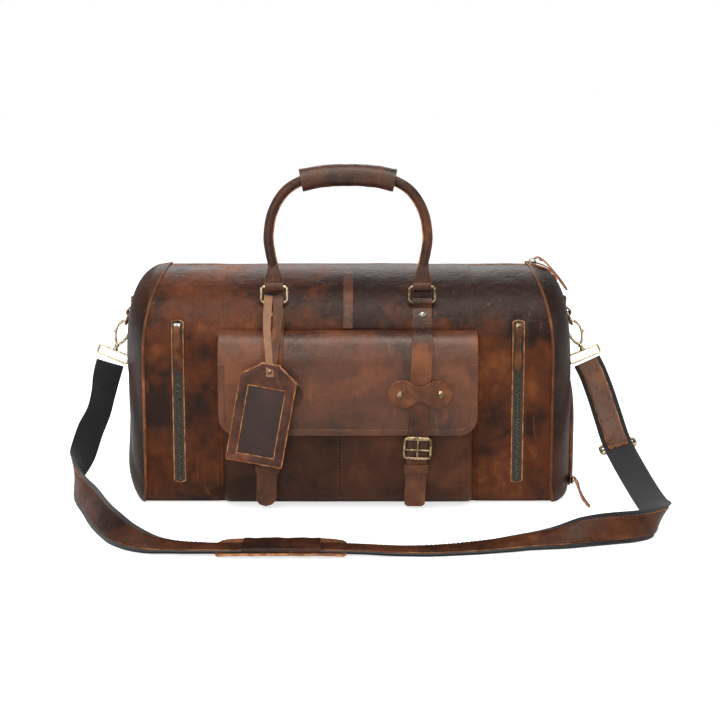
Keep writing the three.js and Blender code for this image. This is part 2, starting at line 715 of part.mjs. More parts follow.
// ---------------------------------------------------------------- shoulder strap, lying loose in front
// Each row: a point of the strap's middle line, and the direction across its width.
const strapRoute = [
  [-309.5, 0, 157, -0.92, 0, 0.4], [-314.5, -5, 138, -0.82, -0.35, 0.35],
  [-318.5, -10, 117, -0.72, -0.6, 0.3], [-324, -16, 95, -0.72, -0.6, 0.35],
  [-334, -24, 72, -0.8, -0.4, 0.5], [-341, -38, 48, -0.7, -0.2, 0.7],
  [-346, -58, 31, -0.25, -0.1, 0.95], [-341, -90, 20, 0.15, 0.1, 0.98],
  [-329, -126, 18.3, 0.3, 0.15, 0.93], [-314, -160, 17, 0.42, 0.22, 0.87],
  [-301, -194, 16, 0.5, 0.25, 0.82], [-288, -227, 15, 0.52, 0.28, 0.78],
  [-273, -257, 13.5, 0.5, 0.4, 0.7], [-253, -288, 10.5, 0.42, 0.7, 0.48],
  [-226, -313, 8, 0.3, 0.9, 0.3], [-196, -321, 6, 0.15, 0.97, 0.1], [-155, -324, 5.5, 0.05, 0.99, 0.02],
  [-95, -325, 5.4, 0, 1, 0], [-40, -325, 5.4, 0, 1, 0], [8, -325, 5, 0, 1, 0],
  [55, -326, 3, -0.03, 1, 0], [105, -325, 3.2, -0.08, 0.99, 0.03], [157, -316, 4.6, -0.15, 0.97, 0.1],
  [202, -305, 7, -0.15, 0.94, 0.22], [238, -300, 10.5, -0.12, 0.85, 0.45],
  [268, -296, 15.5, -0.08, 0.6, 0.78], [298, -294, 18.3, -0.03, 0.28, 0.95],
  [325, -289, 19, 0, 0.08, 1], [346, -277, 19.4, 0.1, 0, 0.99], [358, -258, 20.2, 0.42, 0, 0.9],
  [361, -234, 21.5, 0.8, 0, 0.55], [357.5, -203, 24.5, 0.97, 0, 0.22],
  [348.5, -152, 40.5, 0.97, 0, 0.2], [336, -90, 68.5, 0.96, 0, 0.25], [328, -55, 100, 0.93, 0, 0.36],
  [322, -32, 123.5, 0.92, 0, 0.39], [315.5, -13, 144, 0.92, 0, 0.4], [309, 0, 158.5, 0.92, 0, 0.4]];

class StrapPath extends THREE.CatmullRomCurve3 {
  constructor(rows) {
    super(rows.map(([x, y, z]) => new THREE.Vector3(x, y, z)), false, 'centripetal');
    this.across = new THREE.CatmullRomCurve3(
      rows.map(([, , , x, y, z]) => new THREE.Vector3(x, y, z)), false, 'centripetal');
  }

  computeFrenetFrames(steps) {
    const tangents = [];
    const normals = [];
    const binormals = [];
    for (let i = 0; i <= steps; i++) {
      const share = this.getUtoTmapping(i / steps);
      const tangent = this.getTangent(share).normalize();
      const row = share * (this.points.length - 1);
      const low = Math.min(Math.floor(row), this.points.length - 2);
      const width = this.across.points[low].clone().lerp(this.across.points[low + 1], row - low);
      width.addScaledVector(tangent, -width.dot(tangent)).normalize();
      tangents.push(tangent);
      normals.push(width);
      binormals.push(new THREE.Vector3().crossVectors(tangent, width));
    }
    return { tangents, normals, binormals };
  }
}

const strapPath = new StrapPath(strapRoute);
const strapSection = rectangle(webWidth, webThickness, webThickness / 2 - 0.2);
add('shoulder_strap', new THREE.ExtrudeGeometry(strapSection, {
  extrudePath: strapPath, steps: 76, curveSegments: 1 }), webbing);

const padCentre = [-72, -322.5];
const bandLength = 84;
const strapRest = 5.4;
const padSheet = box(-padLength / 2, padLength / 2, -padWidth / 2, padWidth / 2, 0, padThickness);
const bandHalf = webWidth / 2 + 3;
const bandTop = strapRest + webThickness / 2 + 0.8;
const band = cut(
  box(-bandLength / 2, bandLength / 2, -bandHalf - padThickness, bandHalf + padThickness, 0, bandTop + padThickness),
  box(-bandLength, bandLength, -bandHalf, bandHalf, padThickness, bandTop));
add('shoulder_pad', join(padSheet, band).translate(...padCentre, 0), leather);

const sliderRow = strapRoute[33];
const sliderFrame = new THREE.Group();
const sliderMesh = add('strap_slider',
  alongY(ringShape(webWidth + 1, 10, 3, 1), -1.5, 1.5, 2), brass, sliderFrame);
const rowTangent = strapPath.getTangent(33 / (strapRoute.length - 1)).normalize();
const rowWidth = new THREE.Vector3(...sliderRow.slice(3)).addScaledVector(
  rowTangent, -new THREE.Vector3(...sliderRow.slice(3)).dot(rowTangent)).normalize();
const rowOut = new THREE.Vector3().crossVectors(rowTangent, rowWidth);
sliderFrame.quaternion.setFromRotationMatrix(new THREE.Matrix4().makeBasis(rowWidth, rowOut, rowTangent));
sliderFrame.position.set(...sliderRow.slice(0, 3)).addScaledVector(rowOut, -webThickness / 2 - 2.4);
model.add(sliderFrame);

export default model;
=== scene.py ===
import math

import bmesh
import bpy
from mathutils import Matrix, Vector, noise


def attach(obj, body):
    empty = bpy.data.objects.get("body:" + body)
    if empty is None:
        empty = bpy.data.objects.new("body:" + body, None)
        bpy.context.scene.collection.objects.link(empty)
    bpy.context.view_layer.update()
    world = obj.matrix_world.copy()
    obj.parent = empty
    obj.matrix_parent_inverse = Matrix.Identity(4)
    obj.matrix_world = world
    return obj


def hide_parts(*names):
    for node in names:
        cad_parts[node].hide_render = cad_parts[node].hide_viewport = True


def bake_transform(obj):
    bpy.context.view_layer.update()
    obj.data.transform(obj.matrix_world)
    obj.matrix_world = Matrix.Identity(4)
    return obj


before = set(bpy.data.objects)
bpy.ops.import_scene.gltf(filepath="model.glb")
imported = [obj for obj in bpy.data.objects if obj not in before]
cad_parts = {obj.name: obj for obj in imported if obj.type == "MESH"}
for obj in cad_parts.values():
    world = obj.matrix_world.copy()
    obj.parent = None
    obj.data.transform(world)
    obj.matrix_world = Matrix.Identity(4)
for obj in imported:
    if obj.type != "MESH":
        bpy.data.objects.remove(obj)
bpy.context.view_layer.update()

# ------------------------------------------------------------------ camera, floor and light
# A camera a little above the bag's middle and a plain white floor. Soft lights stand above, in front and
# behind, with a weaker one at each side, under an even white sky.
FLOOR_HALF = 60.0
SKY_LIGHT = 0.30      # the sky as a light; the background itself is plain white
FLOOR_LIFT = 0.72     # paper white added where the camera sees the floor

camera = bpy.data.objects.new("camera", bpy.data.cameras.new("camera"))
camera.data.lens = 75.6
camera.data.sensor_width = 36.0
camera.data.clip_start = 0.01
camera.location = (0.0145, -1.934, 0.484)
camera.rotation_euler = (math.radians(80.5), 0.0, 0.0)
bpy.context.collection.objects.link(camera)
bpy.context.scene.camera = camera
bpy.context.scene.view_settings.view_transform = "Standard"


def node(tree, kind, feeds=None, **settings):
    """A shader node; feeds gives its inputs a value or another node's output."""
    made = tree.nodes.new(kind)
    for name, value in settings.items():
        setattr(made, name, value)
    for name, value in (feeds or {}).items():
        if isinstance(value, bpy.types.NodeSocket):
            tree.links.new(value, made.inputs[name])
        else:
            made.inputs[name].default_value = value
    return made


def maths(tree, kind, first, second):
    """A sum or product of two shader values."""
    return node(tree, "ShaderNodeMath", {0: first, 1: second}, operation=kind).outputs[0]


def finish_of(name, **settings):
    """A material with a Principled shader; returns material, node tree and shader."""
    material = bpy.data.materials.new(name)
    material.use_nodes = True
    shader = material.node_tree.nodes["Principled BSDF"]
    for socket, value in settings.items():
        shader.inputs[socket.replace("_", " ")].default_value = value
    return material, material.node_tree, shader


floor_mesh = bmesh.new()
bmesh.ops.create_grid(floor_mesh, x_segments=1, y_segments=1, size=FLOOR_HALF)
bmesh.ops.translate(floor_mesh, verts=floor_mesh.verts, vec=(0, 0, -0.0005))
floor = bpy.data.objects.new("floor", bpy.data.meshes.new("floor"))
floor_mesh.to_mesh(floor.data)
floor_mesh.free()
bpy.context.collection.objects.link(floor)
floor_paper, floor_tree, floor_shader = finish_of(
    "floor_paper", Base_Color=(0.93, 0.93, 0.93, 1), Roughness=0.9, Emission_Color=(1, 1, 1, 1))
floor.data.materials.append(floor_paper)
floor_seen = node(floor_tree, "ShaderNodeLightPath").outputs["Is Camera Ray"]
floor_tree.links.new(maths(floor_tree, "MULTIPLY", floor_seen, FLOOR_LIFT),
                     floor_shader.inputs["Emission Strength"])

sky = bpy.data.worlds.new("sky")
sky.use_nodes = True
sky.node_tree.nodes["Background"].inputs["Color"].default_value = (1, 1, 1, 1)
sky_seen = node(sky.node_tree, "ShaderNodeLightPath").outputs["Is Camera Ray"]
sky_power = node(sky.node_tree, "ShaderNodeMapRange",
                 {"Value": sky_seen, "To Min": SKY_LIGHT, "To Max": 1.0})
sky.node_tree.links.new(sky_power.outputs["Result"], sky.node_tree.nodes["Background"].inputs["Strength"])
bpy.context.scene.world = sky

# Name, place, the point it faces, width and height, and power in watts.
LAMPS = [
    ("light_above", (0.1, -0.7, 1.9), (0, 0, 0.1), (1.8, 1.0), 32.0),
    ("light_front", (-0.5, -2.6, 1.3), (0, 0, 0.15), (1.6, 1.2), 27.0),
    ("light_left", (-2.2, -0.6, 1.0), (0, 0, 0.15), (1.0, 1.0), 8.0),
    ("light_right", (2.2, -0.4, 1.0), (0, 0, 0.15), (1.0, 1.0), 8.0),
    ("light_behind", (0.0, 2.4, 1.6), (0, 0, 0.1), (2.0, 1.2), 20.0),
]
for name, place, aim, size, power in LAMPS:
    lamp = bpy.data.lights.new(name, "AREA")
    lamp.shape = "RECTANGLE"
    lamp.size, lamp.size_y = size
    lamp.energy = power
    stand = bpy.data.objects.new(name, lamp)
    stand.location = place
    stand.rotation_euler = (Vector(aim) - Vector(place)).to_track_quat("-Z", "Y").to_euler()
    bpy.context.collection.objects.link(stand)


# ------------------------------------------------------------------ shoulder strap
# Woven black webbing with a leather face glued and stitched to one side, which lies loose on the floor
# in front of the bag. It goes round the bag from one trigger hook to the other.
WEB_WIDTH = 0.036
WEB_THICKNESS = 0.0022
FACE_WIDTH = 0.0265
FACE_THICKNESS = 0.0016
FACE_SHARES = (0.10, 0.80)      # where the leather face starts and ends along the route
# A point of the strap's middle line, and the direction across its width.
STRAP_ROUTE = [
    (-0.3095, 0, 0.157, -0.92, 0, 0.4), (-0.3145, -0.005, 0.138, -0.82, -0.35, 0.35),
    (-0.3185, -0.01, 0.117, -0.72, -0.6, 0.3), (-0.324, -0.016, 0.095, -0.72, -0.6, 0.35),
    (-0.334, -0.024, 0.072, -0.8, -0.4, 0.5), (-0.341, -0.038, 0.048, -0.7, -0.2, 0.7),
    (-0.346, -0.058, 0.031, -0.25, -0.1, 0.95), (-0.341, -0.09, 0.02, 0.15, 0.1, 0.98),
    (-0.329, -0.126, 0.0183, 0.3, 0.15, 0.93), (-0.314, -0.16, 0.017, 0.42, 0.22, 0.87),
    (-0.301, -0.194, 0.016, 0.5, 0.25, 0.82), (-0.288, -0.227, 0.015, 0.52, 0.28, 0.78),
    (-0.273, -0.257, 0.0135, 0.5, 0.4, 0.7), (-0.253, -0.288, 0.0105, 0.42, 0.7, 0.48),
    (-0.226, -0.313, 0.008, 0.3, 0.9, 0.3), (-0.196, -0.321, 0.006, 0.15, 0.97, 0.1),
    (-0.155, -0.324, 0.0055, 0.05, 0.99, 0.02), (-0.095, -0.325, 0.0054, 0, 1, 0),
    (-0.04, -0.325, 0.0054, 0, 1, 0), (0.008, -0.325, 0.005, 0, 1, 0),
    (0.055, -0.326, 0.003, -0.03, 1, 0), (0.105, -0.325, 0.0032, -0.08, 0.99, 0.03),
    (0.157, -0.316, 0.0046, -0.15, 0.97, 0.1), (0.202, -0.305, 0.007, -0.15, 0.94, 0.22),
    (0.238, -0.3, 0.0105, -0.12, 0.85, 0.45), (0.268, -0.296, 0.0155, -0.08, 0.6, 0.78),
    (0.298, -0.294, 0.0183, -0.03, 0.28, 0.95), (0.325, -0.289, 0.019, 0, 0.08, 1),
    (0.346, -0.277, 0.0194, 0.1, 0, 0.99), (0.358, -0.258, 0.0202, 0.42, 0, 0.9),
    (0.361, -0.234, 0.0215, 0.8, 0, 0.55), (0.3575, -0.203, 0.0245, 0.97, 0, 0.22),
    (0.3485, -0.152, 0.0405, 0.97, 0, 0.2), (0.336, -0.09, 0.0685, 0.96, 0, 0.25),
    (0.328, -0.055, 0.1, 0.93, 0, 0.36), (0.322, -0.032, 0.1235, 0.92, 0, 0.39),
    (0.3155, -0.013, 0.144, 0.92, 0, 0.4), (0.309, 0, 0.1585, 0.92, 0, 0.4),
]
BETWEEN = 6         # steps laid between two rows of the route


def spline(rows, steps):
    """Points on a Catmull-Rom curve through rows of numbers of any length."""
    rows = [Vector(row) for row in rows]
    ends = [2 * rows[0] - rows[1], *rows, 2 * rows[-1] - rows[-2]]
    found = []
    for a, b, c, d in zip(ends, ends[1:], ends[2:], ends[3:]):
        for step in range(steps):
            t = step / steps
            found.append(0.5 * (2 * b + (c - a) * t + (2 * a - 5 * b + 4 * c - d) * t * t
                                + (3 * b - a - 3 * c + d) * t * t * t))
    return [*found, rows[-1]]


strap_line = spline([row[:3] for row in STRAP_ROUTE], BETWEEN)
strap_across = spline([row[3:] for row in STRAP_ROUTE], BETWEEN)
strap_length = sum((b - a).length for a, b in zip(strap_line, strap_line[1:]))


def strap_frame(share):
    """At a share of the rows: the strap's middle, across its width, and out of its leather face."""
    at = min(max(share, 0.0), 1.0) * (len(strap_line) - 1)
    low = min(int(at), len(strap_line) - 2)
    middle = strap_line[low].lerp(strap_line[low + 1], at - low)
    near = strap_line[max(low - 1, 0)], strap_line[min(low + 2, len(strap_line) - 1)]
    along = (near[1] - near[0]).normalized()
    across = strap_across[low].lerp(strap_across[low + 1], at - low)
    across = (across - along * across.dot(along)).normalized()
    return middle, across, along.cross(across), along


def new_piece(name, mesh, *finishes):
    """A finished mesh as an object of that name, smooth, with its materials."""
    for face in mesh.faces:
        face.smooth = True
    data = bpy.data.meshes.new(name)
    mesh.to_mesh(data)
    mesh.free()
    for finish in finishes:
        data.materials.append(finish)
    piece = bpy.data.objects.new(name, data)
    bpy.context.collection.objects.link(piece)
    return piece


def laid_sheet(name, columns, rows, place, *finishes, closed=False, tone=None, flipped=False):
    """A grid laid out by place(u, v), with u and v from 0 to 1; tone(point) darkens or lightens it."""
    mesh = bmesh.new()
    bmesh.ops.create_grid(mesh, x_segments=columns, y_segments=rows, size=0.5)
    for vertex in mesh.verts:
        vertex.co = place(min(max(vertex.co.x + 0.5, 0.0), 1.0), min(max(vertex.co.y + 0.5, 0.0), 1.0))
    if closed:
        bmesh.ops.remove_doubles(mesh, verts=mesh.verts, dist=2e-5)
    piece = new_piece(name, mesh, *finishes)
    if tone:
        layer = piece.data.attributes.new("tone", "FLOAT", "POINT")
        for vertex in piece.data.vertices:
            layer.data[vertex.index].value = tone(vertex.co)
    if flipped:
        for face in piece.data.polygons:
            face.flip()
    return piece


def thicken(piece, thickness, edge=0.0005, cut_edge=True):
    """A leather's thickness, inwards from its face, with a raw cut edge and slightly rounded corners."""
    wall = piece.modifiers.new("thickness", "SOLIDIFY")
    wall.thickness = thickness
    wall.offset = -1
    wall.material_offset_rim = 1 if cut_edge else 0
    if edge:
        soft = piece.modifiers.new("rounded_edge", "BEVEL")
        soft.width = edge
        soft.segments = 2
        soft.limit_method = "ANGLE"
        soft.angle_limit = math.radians(50)
    return piece


def settle(piece, body, slot, *nodes):
    """Fixes a finished piece to its body and hides the plain solids it stands for; slot is not used."""
    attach(piece, body)
    if nodes:
        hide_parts(*nodes)
    return piece


def cut_sheet(name, columns, rows, place, finishes, thickness, edge, body, slot, *nodes, **settings):
    """A laid sheet of one finish, or of a face and a cut edge, with its thickness, fixed to its body."""
    piece = laid_sheet(name, columns, rows, place, *finishes, **settings)
    return settle(thicken(piece, thickness, edge, len(finishes) > 1), body, slot, *nodes)


def tone_from(spots):
    """Tone at a point, from light and dark spots given as x, z, size and strength."""
    return lambda point: sum(strength * math.exp(-((point.x - x) ** 2 + (point.z - z) ** 2) / size ** 2)
                             for x, z, size, strength in spots)


def effect(name, wanted, given):
    """An empty shader node group: wanted inputs with their values, and given outputs."""
    group = bpy.data.node_groups.new(name, "ShaderNodeTree")
    for label, kind, value in wanted:
        socket = group.interface.new_socket(label, in_out="INPUT", socket_type=kind)
        if value is not None:
            socket.default_value = value
    for label, kind in given:
        group.interface.new_socket(label, in_out="OUTPUT", socket_type=kind)
    return group, group.nodes.new("NodeGroupInput"), group.nodes.new("NodeGroupOutput")


def steps_between(tree, value, low, high, low_out=0.0, high_out=1.0):
    """A smooth step of a value from low to high."""
    return node(tree, "ShaderNodeMapRange", {
        "Value": value, "From Min": low, "From Max": high, "To Min": low_out, "To Max": high_out},
        interpolation_type="SMOOTHSTEP").outputs["Result"]


def blended(tree, share, first, second):
    """One colour over another, by a share from 0 to 1."""
    return node(tree, "ShaderNodeMix", {0: share, 6: first, 7: second}, data_type="RGBA").outputs[2]


def cloud(tree, place, scale, detail=3.0, distortion=0.0, roughness=0.55):
    """A soft noise pattern from 0 to 1."""
    return node(tree, "ShaderNodeTexNoise", {
        "Vector": place, "Scale": scale, "Detail": detail, "Distortion": distortion,
        "Roughness": roughness}).outputs["Fac"]


def raise_surface(tree, shader, height, depth):
    """Makes a shader's surface rise with a pattern, by a depth in metres."""
    bump = node(tree, "ShaderNodeBump", {"Height": height, "Distance": depth})
    tree.links.new(bump.outputs["Normal"], shader.inputs["Normal"])


def two_tone(name, first, second, pattern, depth=0.0, relief=None, **settings):
    """A finish in two colours mixed by pattern(tree, place), its surface raised by relief or the same."""
    material, tree, shader = finish_of(name, **settings)
    place = node(tree, "ShaderNodeTexCoord").outputs["Object"]
    share = pattern(tree, place)
    tree.links.new(blended(tree, share, first, second), shader.inputs["Base Color"])
    if depth:
        raise_surface(tree, shader, relief(tree, place) if relief else share, depth)
    return material


# Waxed pull-up leather: dark where the wax lies thick, orange where it was bent and rubbed thin, with
# a fine pebbled grain, small creases and a few scratches.
pull_up, inlet, outlet = effect("pull_up_leather", [
    ("Vector", "NodeSocketVector", None), ("Tone", "NodeSocketFloat", 0.0),
    ("Dark", "NodeSocketColor", (0.02, 0.007, 0.004, 1)), ("Mid", "NodeSocketColor", (0.09, 0.028, 0.01, 1)),
    ("Light", "NodeSocketColor", (0.26, 0.09, 0.032, 1)), ("Cloud Size", "NodeSocketFloat", 1.0),
], [("Color", "NodeSocketColor"), ("Roughness", "NodeSocketFloat"), ("Height", "NodeSocketFloat")])
spread = node(pull_up, "ShaderNodeVectorMath", {0: inlet.outputs["Vector"]}, operation="SCALE")
pull_up.links.new(inlet.outputs["Cloud Size"], spread.inputs["Scale"])
wide = cloud(pull_up, spread.outputs[0], 9.0, 3.0, 0.5)
middle_size = cloud(pull_up, spread.outputs[0], 26.0, 4.0, 0.8)
small = cloud(pull_up, inlet.outputs["Vector"], 120.0, 3.0)
depth = maths(pull_up, "ADD", maths(pull_up, "MULTIPLY", wide, 0.62),
              maths(pull_up, "MULTIPLY", middle_size, 0.30))
depth = maths(pull_up, "ADD", depth, maths(pull_up, "MULTIPLY", small, 0.12))
# The Tone input shifts the colour by each piece's painted spots, which on the flap, its buckle straps and
# one place on the front paint a sheen.
depth = maths(pull_up, "ADD", depth, inlet.outputs["Tone"])
first = blended(pull_up, steps_between(pull_up, depth, 0.40, 0.56), inlet.outputs["Dark"],
                inlet.outputs["Mid"])
second = blended(pull_up, steps_between(pull_up, depth, 0.54, 0.74), first, inlet.outputs["Light"])
stretched = node(pull_up, "ShaderNodeMapping", {
    "Vector": inlet.outputs["Vector"], "Rotation": (0.4, 0.9, 0.3), "Scale": (1.0, 1.0, 0.12)})
scuffs = cloud(pull_up, stretched.outputs["Vector"], 160.0, 2.0)
scratched = blended(pull_up, steps_between(pull_up, scuffs, 0.66, 0.74, 0.0, 0.35), second,
                    inlet.outputs["Light"])
pull_up.links.new(scratched, outlet.inputs["Color"])
pebbles = node(pull_up, "ShaderNodeTexVoronoi", {"Vector": inlet.outputs["Vector"], "Scale": 650.0},
               feature="SMOOTH_F1").outputs["Distance"]
creases = cloud(pull_up, inlet.outputs["Vector"], 75.0, 6.0, 1.5, 0.65)
rise = maths(pull_up, "ADD", maths(pull_up, "MULTIPLY", pebbles, 0.35),
             maths(pull_up, "MULTIPLY", creases, 1.6))
pull_up.links.new(rise, outlet.inputs["Height"])
sheen = maths(pull_up, "ADD", steps_between(pull_up, depth, 0.4, 0.75, 0.30, 0.44),
              maths(pull_up, "MULTIPLY", creases, 0.14))
pull_up.links.new(sheen, outlet.inputs["Roughness"])


def leather_of(name, dark, mid, light, cloud_size=1.0, tone=0.0, relief=0.0006, gloss=0.22):
    """A waxed leather in three depths of colour."""
    material, tree, shader = finish_of(name, Specular_IOR_Level=gloss, Specular_Tint=(1.0, 0.84, 0.74, 1))
    spot = node(tree, "ShaderNodeTexCoord").outputs["Object"]
    painted = node(tree, "ShaderNodeAttribute", attribute_name="tone").outputs["Fac"]
    skin = node(tree, "ShaderNodeGroup", {
        "Vector": spot, "Tone": maths(tree, "ADD", painted, tone), "Dark": dark, "Mid": mid, "Light": light,
        "Cloud Size": cloud_size}, node_tree=pull_up)
    tree.links.new(skin.outputs["Color"], shader.inputs["Base Color"])
    tree.links.new(skin.outputs["Roughness"], shader.inputs["Roughness"])
    raise_surface(tree, shader, skin.outputs["Height"], relief)
    return material


# The cut edge of the leather: raw orange-tan fibre.
edge_tan = two_tone("raw_edge", (0.20, 0.065, 0.02, 1), (0.48, 0.21, 0.085, 1),
                    lambda tree, at: steps_between(tree, cloud(tree, at, 90.0), 0.35, 0.65), 0.0003,
                    lambda tree, at: cloud(tree, at, 900.0), Roughness=0.75, Specular_IOR_Level=0.3)

strap_leather = leather_of("strap_leather", (0.016, 0.005, 0.003, 1), (0.062, 0.018, 0.007, 1),
                           (0.17, 0.055, 0.020, 1), 1.4, -0.02)

# Webbing weave: raised ribs across the strap in rows along it, from the mesh's own width and length.
web_black, web_tree, web_shader = finish_of("black_webbing", Specular_IOR_Level=0.3, Sheen_Weight=0.25)
web_run = node(web_tree, "ShaderNodeAttribute", attribute_name="run").outputs["Vector"]
web_ribs = node(web_tree, "ShaderNodeTexWave", {"Vector": web_run, "Scale": 190.0, "Distortion": 0.4},
                bands_direction="Y").outputs["Fac"]
web_rows = node(web_tree, "ShaderNodeTexWave", {"Vector": web_run, "Scale": 160.0, "Distortion": 0.2},
                bands_direction="X").outputs["Fac"]
web_weave = maths(web_tree, "MULTIPLY", web_ribs, web_rows)
web_tree.links.new(blended(web_tree, web_weave, (0.0035, 0.0035, 0.0045, 1), (0.022, 0.021, 0.024, 1)),
                   web_shader.inputs["Base Color"])
web_tree.links.new(steps_between(web_tree, web_weave, 0.0, 1.0, 0.9, 0.62), web_shader.inputs["Roughness"])
raise_surface(web_tree, web_shader, web_weave, 0.0005)


def ribbon(name, start, end, width, lift, thickness, *finishes, rows=None, seed=0.0):
    """A band on the strap between two shares of its route, lifted off its middle plane."""
    rows = rows or max(6, int((end - start) * 420))

    def place(u, v):
        middle, across, out, _ = strap_frame(start + (end - start) * v)
        ripple = 0.0005 * noise.noise(Vector((v * (end - start) * 60, u * 1.5, seed)))
        cup = 0.0006 * (2 * u - 1) ** 2
        return middle + across * width * (u - 0.5) + out * (lift + thickness / 2 + ripple * 0.6 - cup)

    mesh = bmesh.new()
    bmesh.ops.create_grid(mesh, x_segments=8, y_segments=rows, size=0.5)
    run = mesh.verts.layers.float_vector.new("run")
    for vertex in mesh.verts:
        u, v = vertex.co.x + 0.5, vertex.co.y + 0.5
        vertex[run] = Vector((u * width, v * (end - start) * strap_length, 0))
        vertex.co = place(u, v)
    bmesh.ops.reverse_faces(mesh, faces=mesh.faces)
    return thicken(new_piece(name, mesh, *finishes), thickness, 0.0003)


strap = ribbon("shoulder_strap_webbing", 0.0, 1.0, WEB_WIDTH, -0.0005, WEB_THICKNESS, web_black, web_black)
strap_face = ribbon("shoulder_strap_face", *FACE_SHARES, FACE_WIDTH, WEB_THICKNESS / 2 + 0.0002,
                    FACE_THICKNESS, strap_leather, edge_tan, seed=4.0)
settle(strap, "root", "webbing", "shoulder_strap")
settle(strap_face, "root", "trim_leather")


# ------------------------------------------------------------------ leather body
# Four cut panels of waxed leather run up to the mouth's lips: three side by side in front, lapped over
# each other and sewn, and one behind. They sag a little between their seams.
HALF_DEPTH = 0.120
SHOULDER_Z = 0.200
TOP_Z = 0.285
BASE_HALF = 0.102
BASE_CORNER = 0.018
SEAM_X = 0.249          # end seams on the front and rear faces
SEAM_TOP_X = 0.229      # and over the top
LAP_X = 0.150
LIP_EDGE = 0.0078
LEATHER = 0.0022
ZIP_X = 0.207
ZIP_ENDS = (0.028, 0.228)

corner_arc = [(-BASE_HALF - BASE_CORNER * math.sin(a), BASE_CORNER - BASE_CORNER * math.cos(a))
              for a in [math.pi / 2 * i / 6 for i in range(7)]]
shoulder_arc = [(-HALF_DEPTH * math.cos(a), SHOULDER_Z + (TOP_Z - SHOULDER_Z) * math.sin(a))
                for a in [math.acos(LIP_EDGE / HALF_DEPTH) * i / 40 for i in range(1, 41)]]
front_section = [*corner_arc, (-HALF_DEPTH, SHOULDER_Z), *shoulder_arc]


def clamped(value):
    """A value held between 0 and 1."""
    return min(max(value, 0.0), 1.0)


def along_line(line, share):
    """The point at a share of the length of a line of points, and its direction there."""
    lengths = [math.dist(a, b) for a, b in zip(line, line[1:])]
    left = clamped(share) * sum(lengths)
    for a, b, length in zip(line, line[1:], lengths):
        if left <= length + 1e-9:
            t = left / length
            return [p + (q - p) * t for p, q in zip(a, b)], [(q - p) / length for p, q in zip(a, b)]
        left -= length
    return list(line[-1]), [(q - p) / lengths[-1] for p, q in zip(line[-2], line[-1])]


def seam_x(z):
    """Half length of the body at a height on its section."""
    up = max(0.0, z - 0.17) / (TOP_Z - 0.17)
    low = max(0.0, 0.02 - z) / 0.02
    return SEAM_X - (SEAM_X - SEAM_TOP_X) * up ** 2.4 + 0.004 * low


def body_sag(x, z, seed):
    """How far the soft leather stands out of or falls into the body's section."""
    side = abs(x)
    span = (side - LAP_X) / (SEAM_X - LAP_X) if side > LAP_X else side / LAP_X
    crown = 0.0016 * math.sin(math.pi * clamped(span)) if side > LAP_X else 0.0008 * (1 - span * span)
    folds = 0.0013 * noise.noise(Vector((x * 11, z * 13, seed)))
    folds += 0.0006 * noise.noise(Vector((x * 32, z * 24, seed)))
    puckers = 0.0004 * noise.noise(Vector((x * 60, z * 130, seed + 5)))
    return crown + folds + puckers


def body_point(x, share, facing=-1, lift=0.0):
    """A point of the front (facing -1) or rear (1) wrap."""
    (y, z), (dy, dz) = along_line(front_section, share)
    quiet = clamped((1 - share) * 12) * min(1.0, share * 10)
    out = lift + quiet * body_sag(x, z, 3.0 + facing)
    if facing < 0:
        if abs(x) < LAP_X + 0.008 and z < 0.218:
            out = min(out, -0.0002)
        groove = max(0.0, 1 - (abs(abs(x) - ZIP_X) / 0.0075) ** 4)
        ends = clamped((z - ZIP_ENDS[0] + 0.004) / 0.006) * clamped((ZIP_ENDS[1] + 0.004 - z) / 0.006)
        out -= 0.0016 * groove * ends
        out += 0.0012 * math.exp(-((abs(abs(x) - ZIP_X) - 0.012) / 0.006) ** 2) * ends
    return Vector((x, -facing * (y - dz * out), max(0.0003, z + dy * out)))


# Light and dark places of the front: x, z, size and strength. They lighten or darken the leather in patches;
# the light spot at x -0.050, z 0.235 is a painted sheen.
BODY_TONE_AND_SHEEN_SPOTS = [
    (-0.222, 0.250, 0.030, -0.02), (-0.185, 0.270, 0.030, -0.02), (-0.235, 0.200, 0.025, 0.03),
    (-0.165, 0.200, 0.025, -0.06), (-0.190, 0.130, 0.030, -0.12), (-0.235, 0.120, 0.020, -0.08),
    (-0.225, 0.050, 0.035, 0.06), (-0.170, 0.060, 0.020, -0.04), (-0.175, 0.165, 0.016, 0.04),
    (-0.110, 0.262, 0.030, -0.10), (-0.050, 0.235, 0.030, 0.03), (-0.040, 0.268, 0.040, -0.06),
    (0.030, 0.262, 0.050, -0.14), (0.055, 0.232, 0.022, 0.03), (0.120, 0.265, 0.040, -0.08),
    (0.190, 0.268, 0.045, -0.18), (0.235, 0.240, 0.030, -0.16), (0.170, 0.215, 0.022, 0.05),
    (0.185, 0.165, 0.030, 0.09), (0.228, 0.150, 0.020, 0.07), (0.225, 0.105, 0.020, -0.12),
    (0.180, 0.110, 0.020, -0.06), (0.228, 0.070, 0.022, 0.03), (0.175, 0.045, 0.030, 0.03),
    (0.240, 0.030, 0.025, -0.10),
]


body_leather = leather_of("body_leather", (0.015, 0.0050, 0.0030, 1), (0.080, 0.019, 0.0050, 1),
                          (0.23, 0.066, 0.017, 1), 1.25, 0.0, 0.0007, 0.22)

for name, left, right, columns, lift in (
    ("front_left", -1, -LAP_X + 0.001, 50, 0.0), ("front_middle", -LAP_X - 0.004, LAP_X + 0.004, 96, 0.0014),
    ("front_right", LAP_X - 0.001, 1, 50, 0.0),
):
    def place(u, v, left=left, right=right, lift=lift):
        reach = seam_x(along_line(front_section, v)[0][1])
        start, end = max(left, -reach), min(right, reach)
        return body_point(start + (end - start) * u, v, -1, lift)
    panel = laid_sheet(name, columns, 92, place, body_leather, edge_tan, tone=tone_from(BODY_TONE_AND_SHEEN_SPOTS))
    thicken(panel, LEATHER, 0.0004)
    side = name.split("_")[1]
    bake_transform(panel)
    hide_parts(f"front_panel_{side}", *(["front_lip"] if side == "middle" else []))


def rear_place(u, v):
    reach = seam_x(along_line(front_section, v)[0][1])
    return body_point(reach - 2 * reach * u, v, 1)


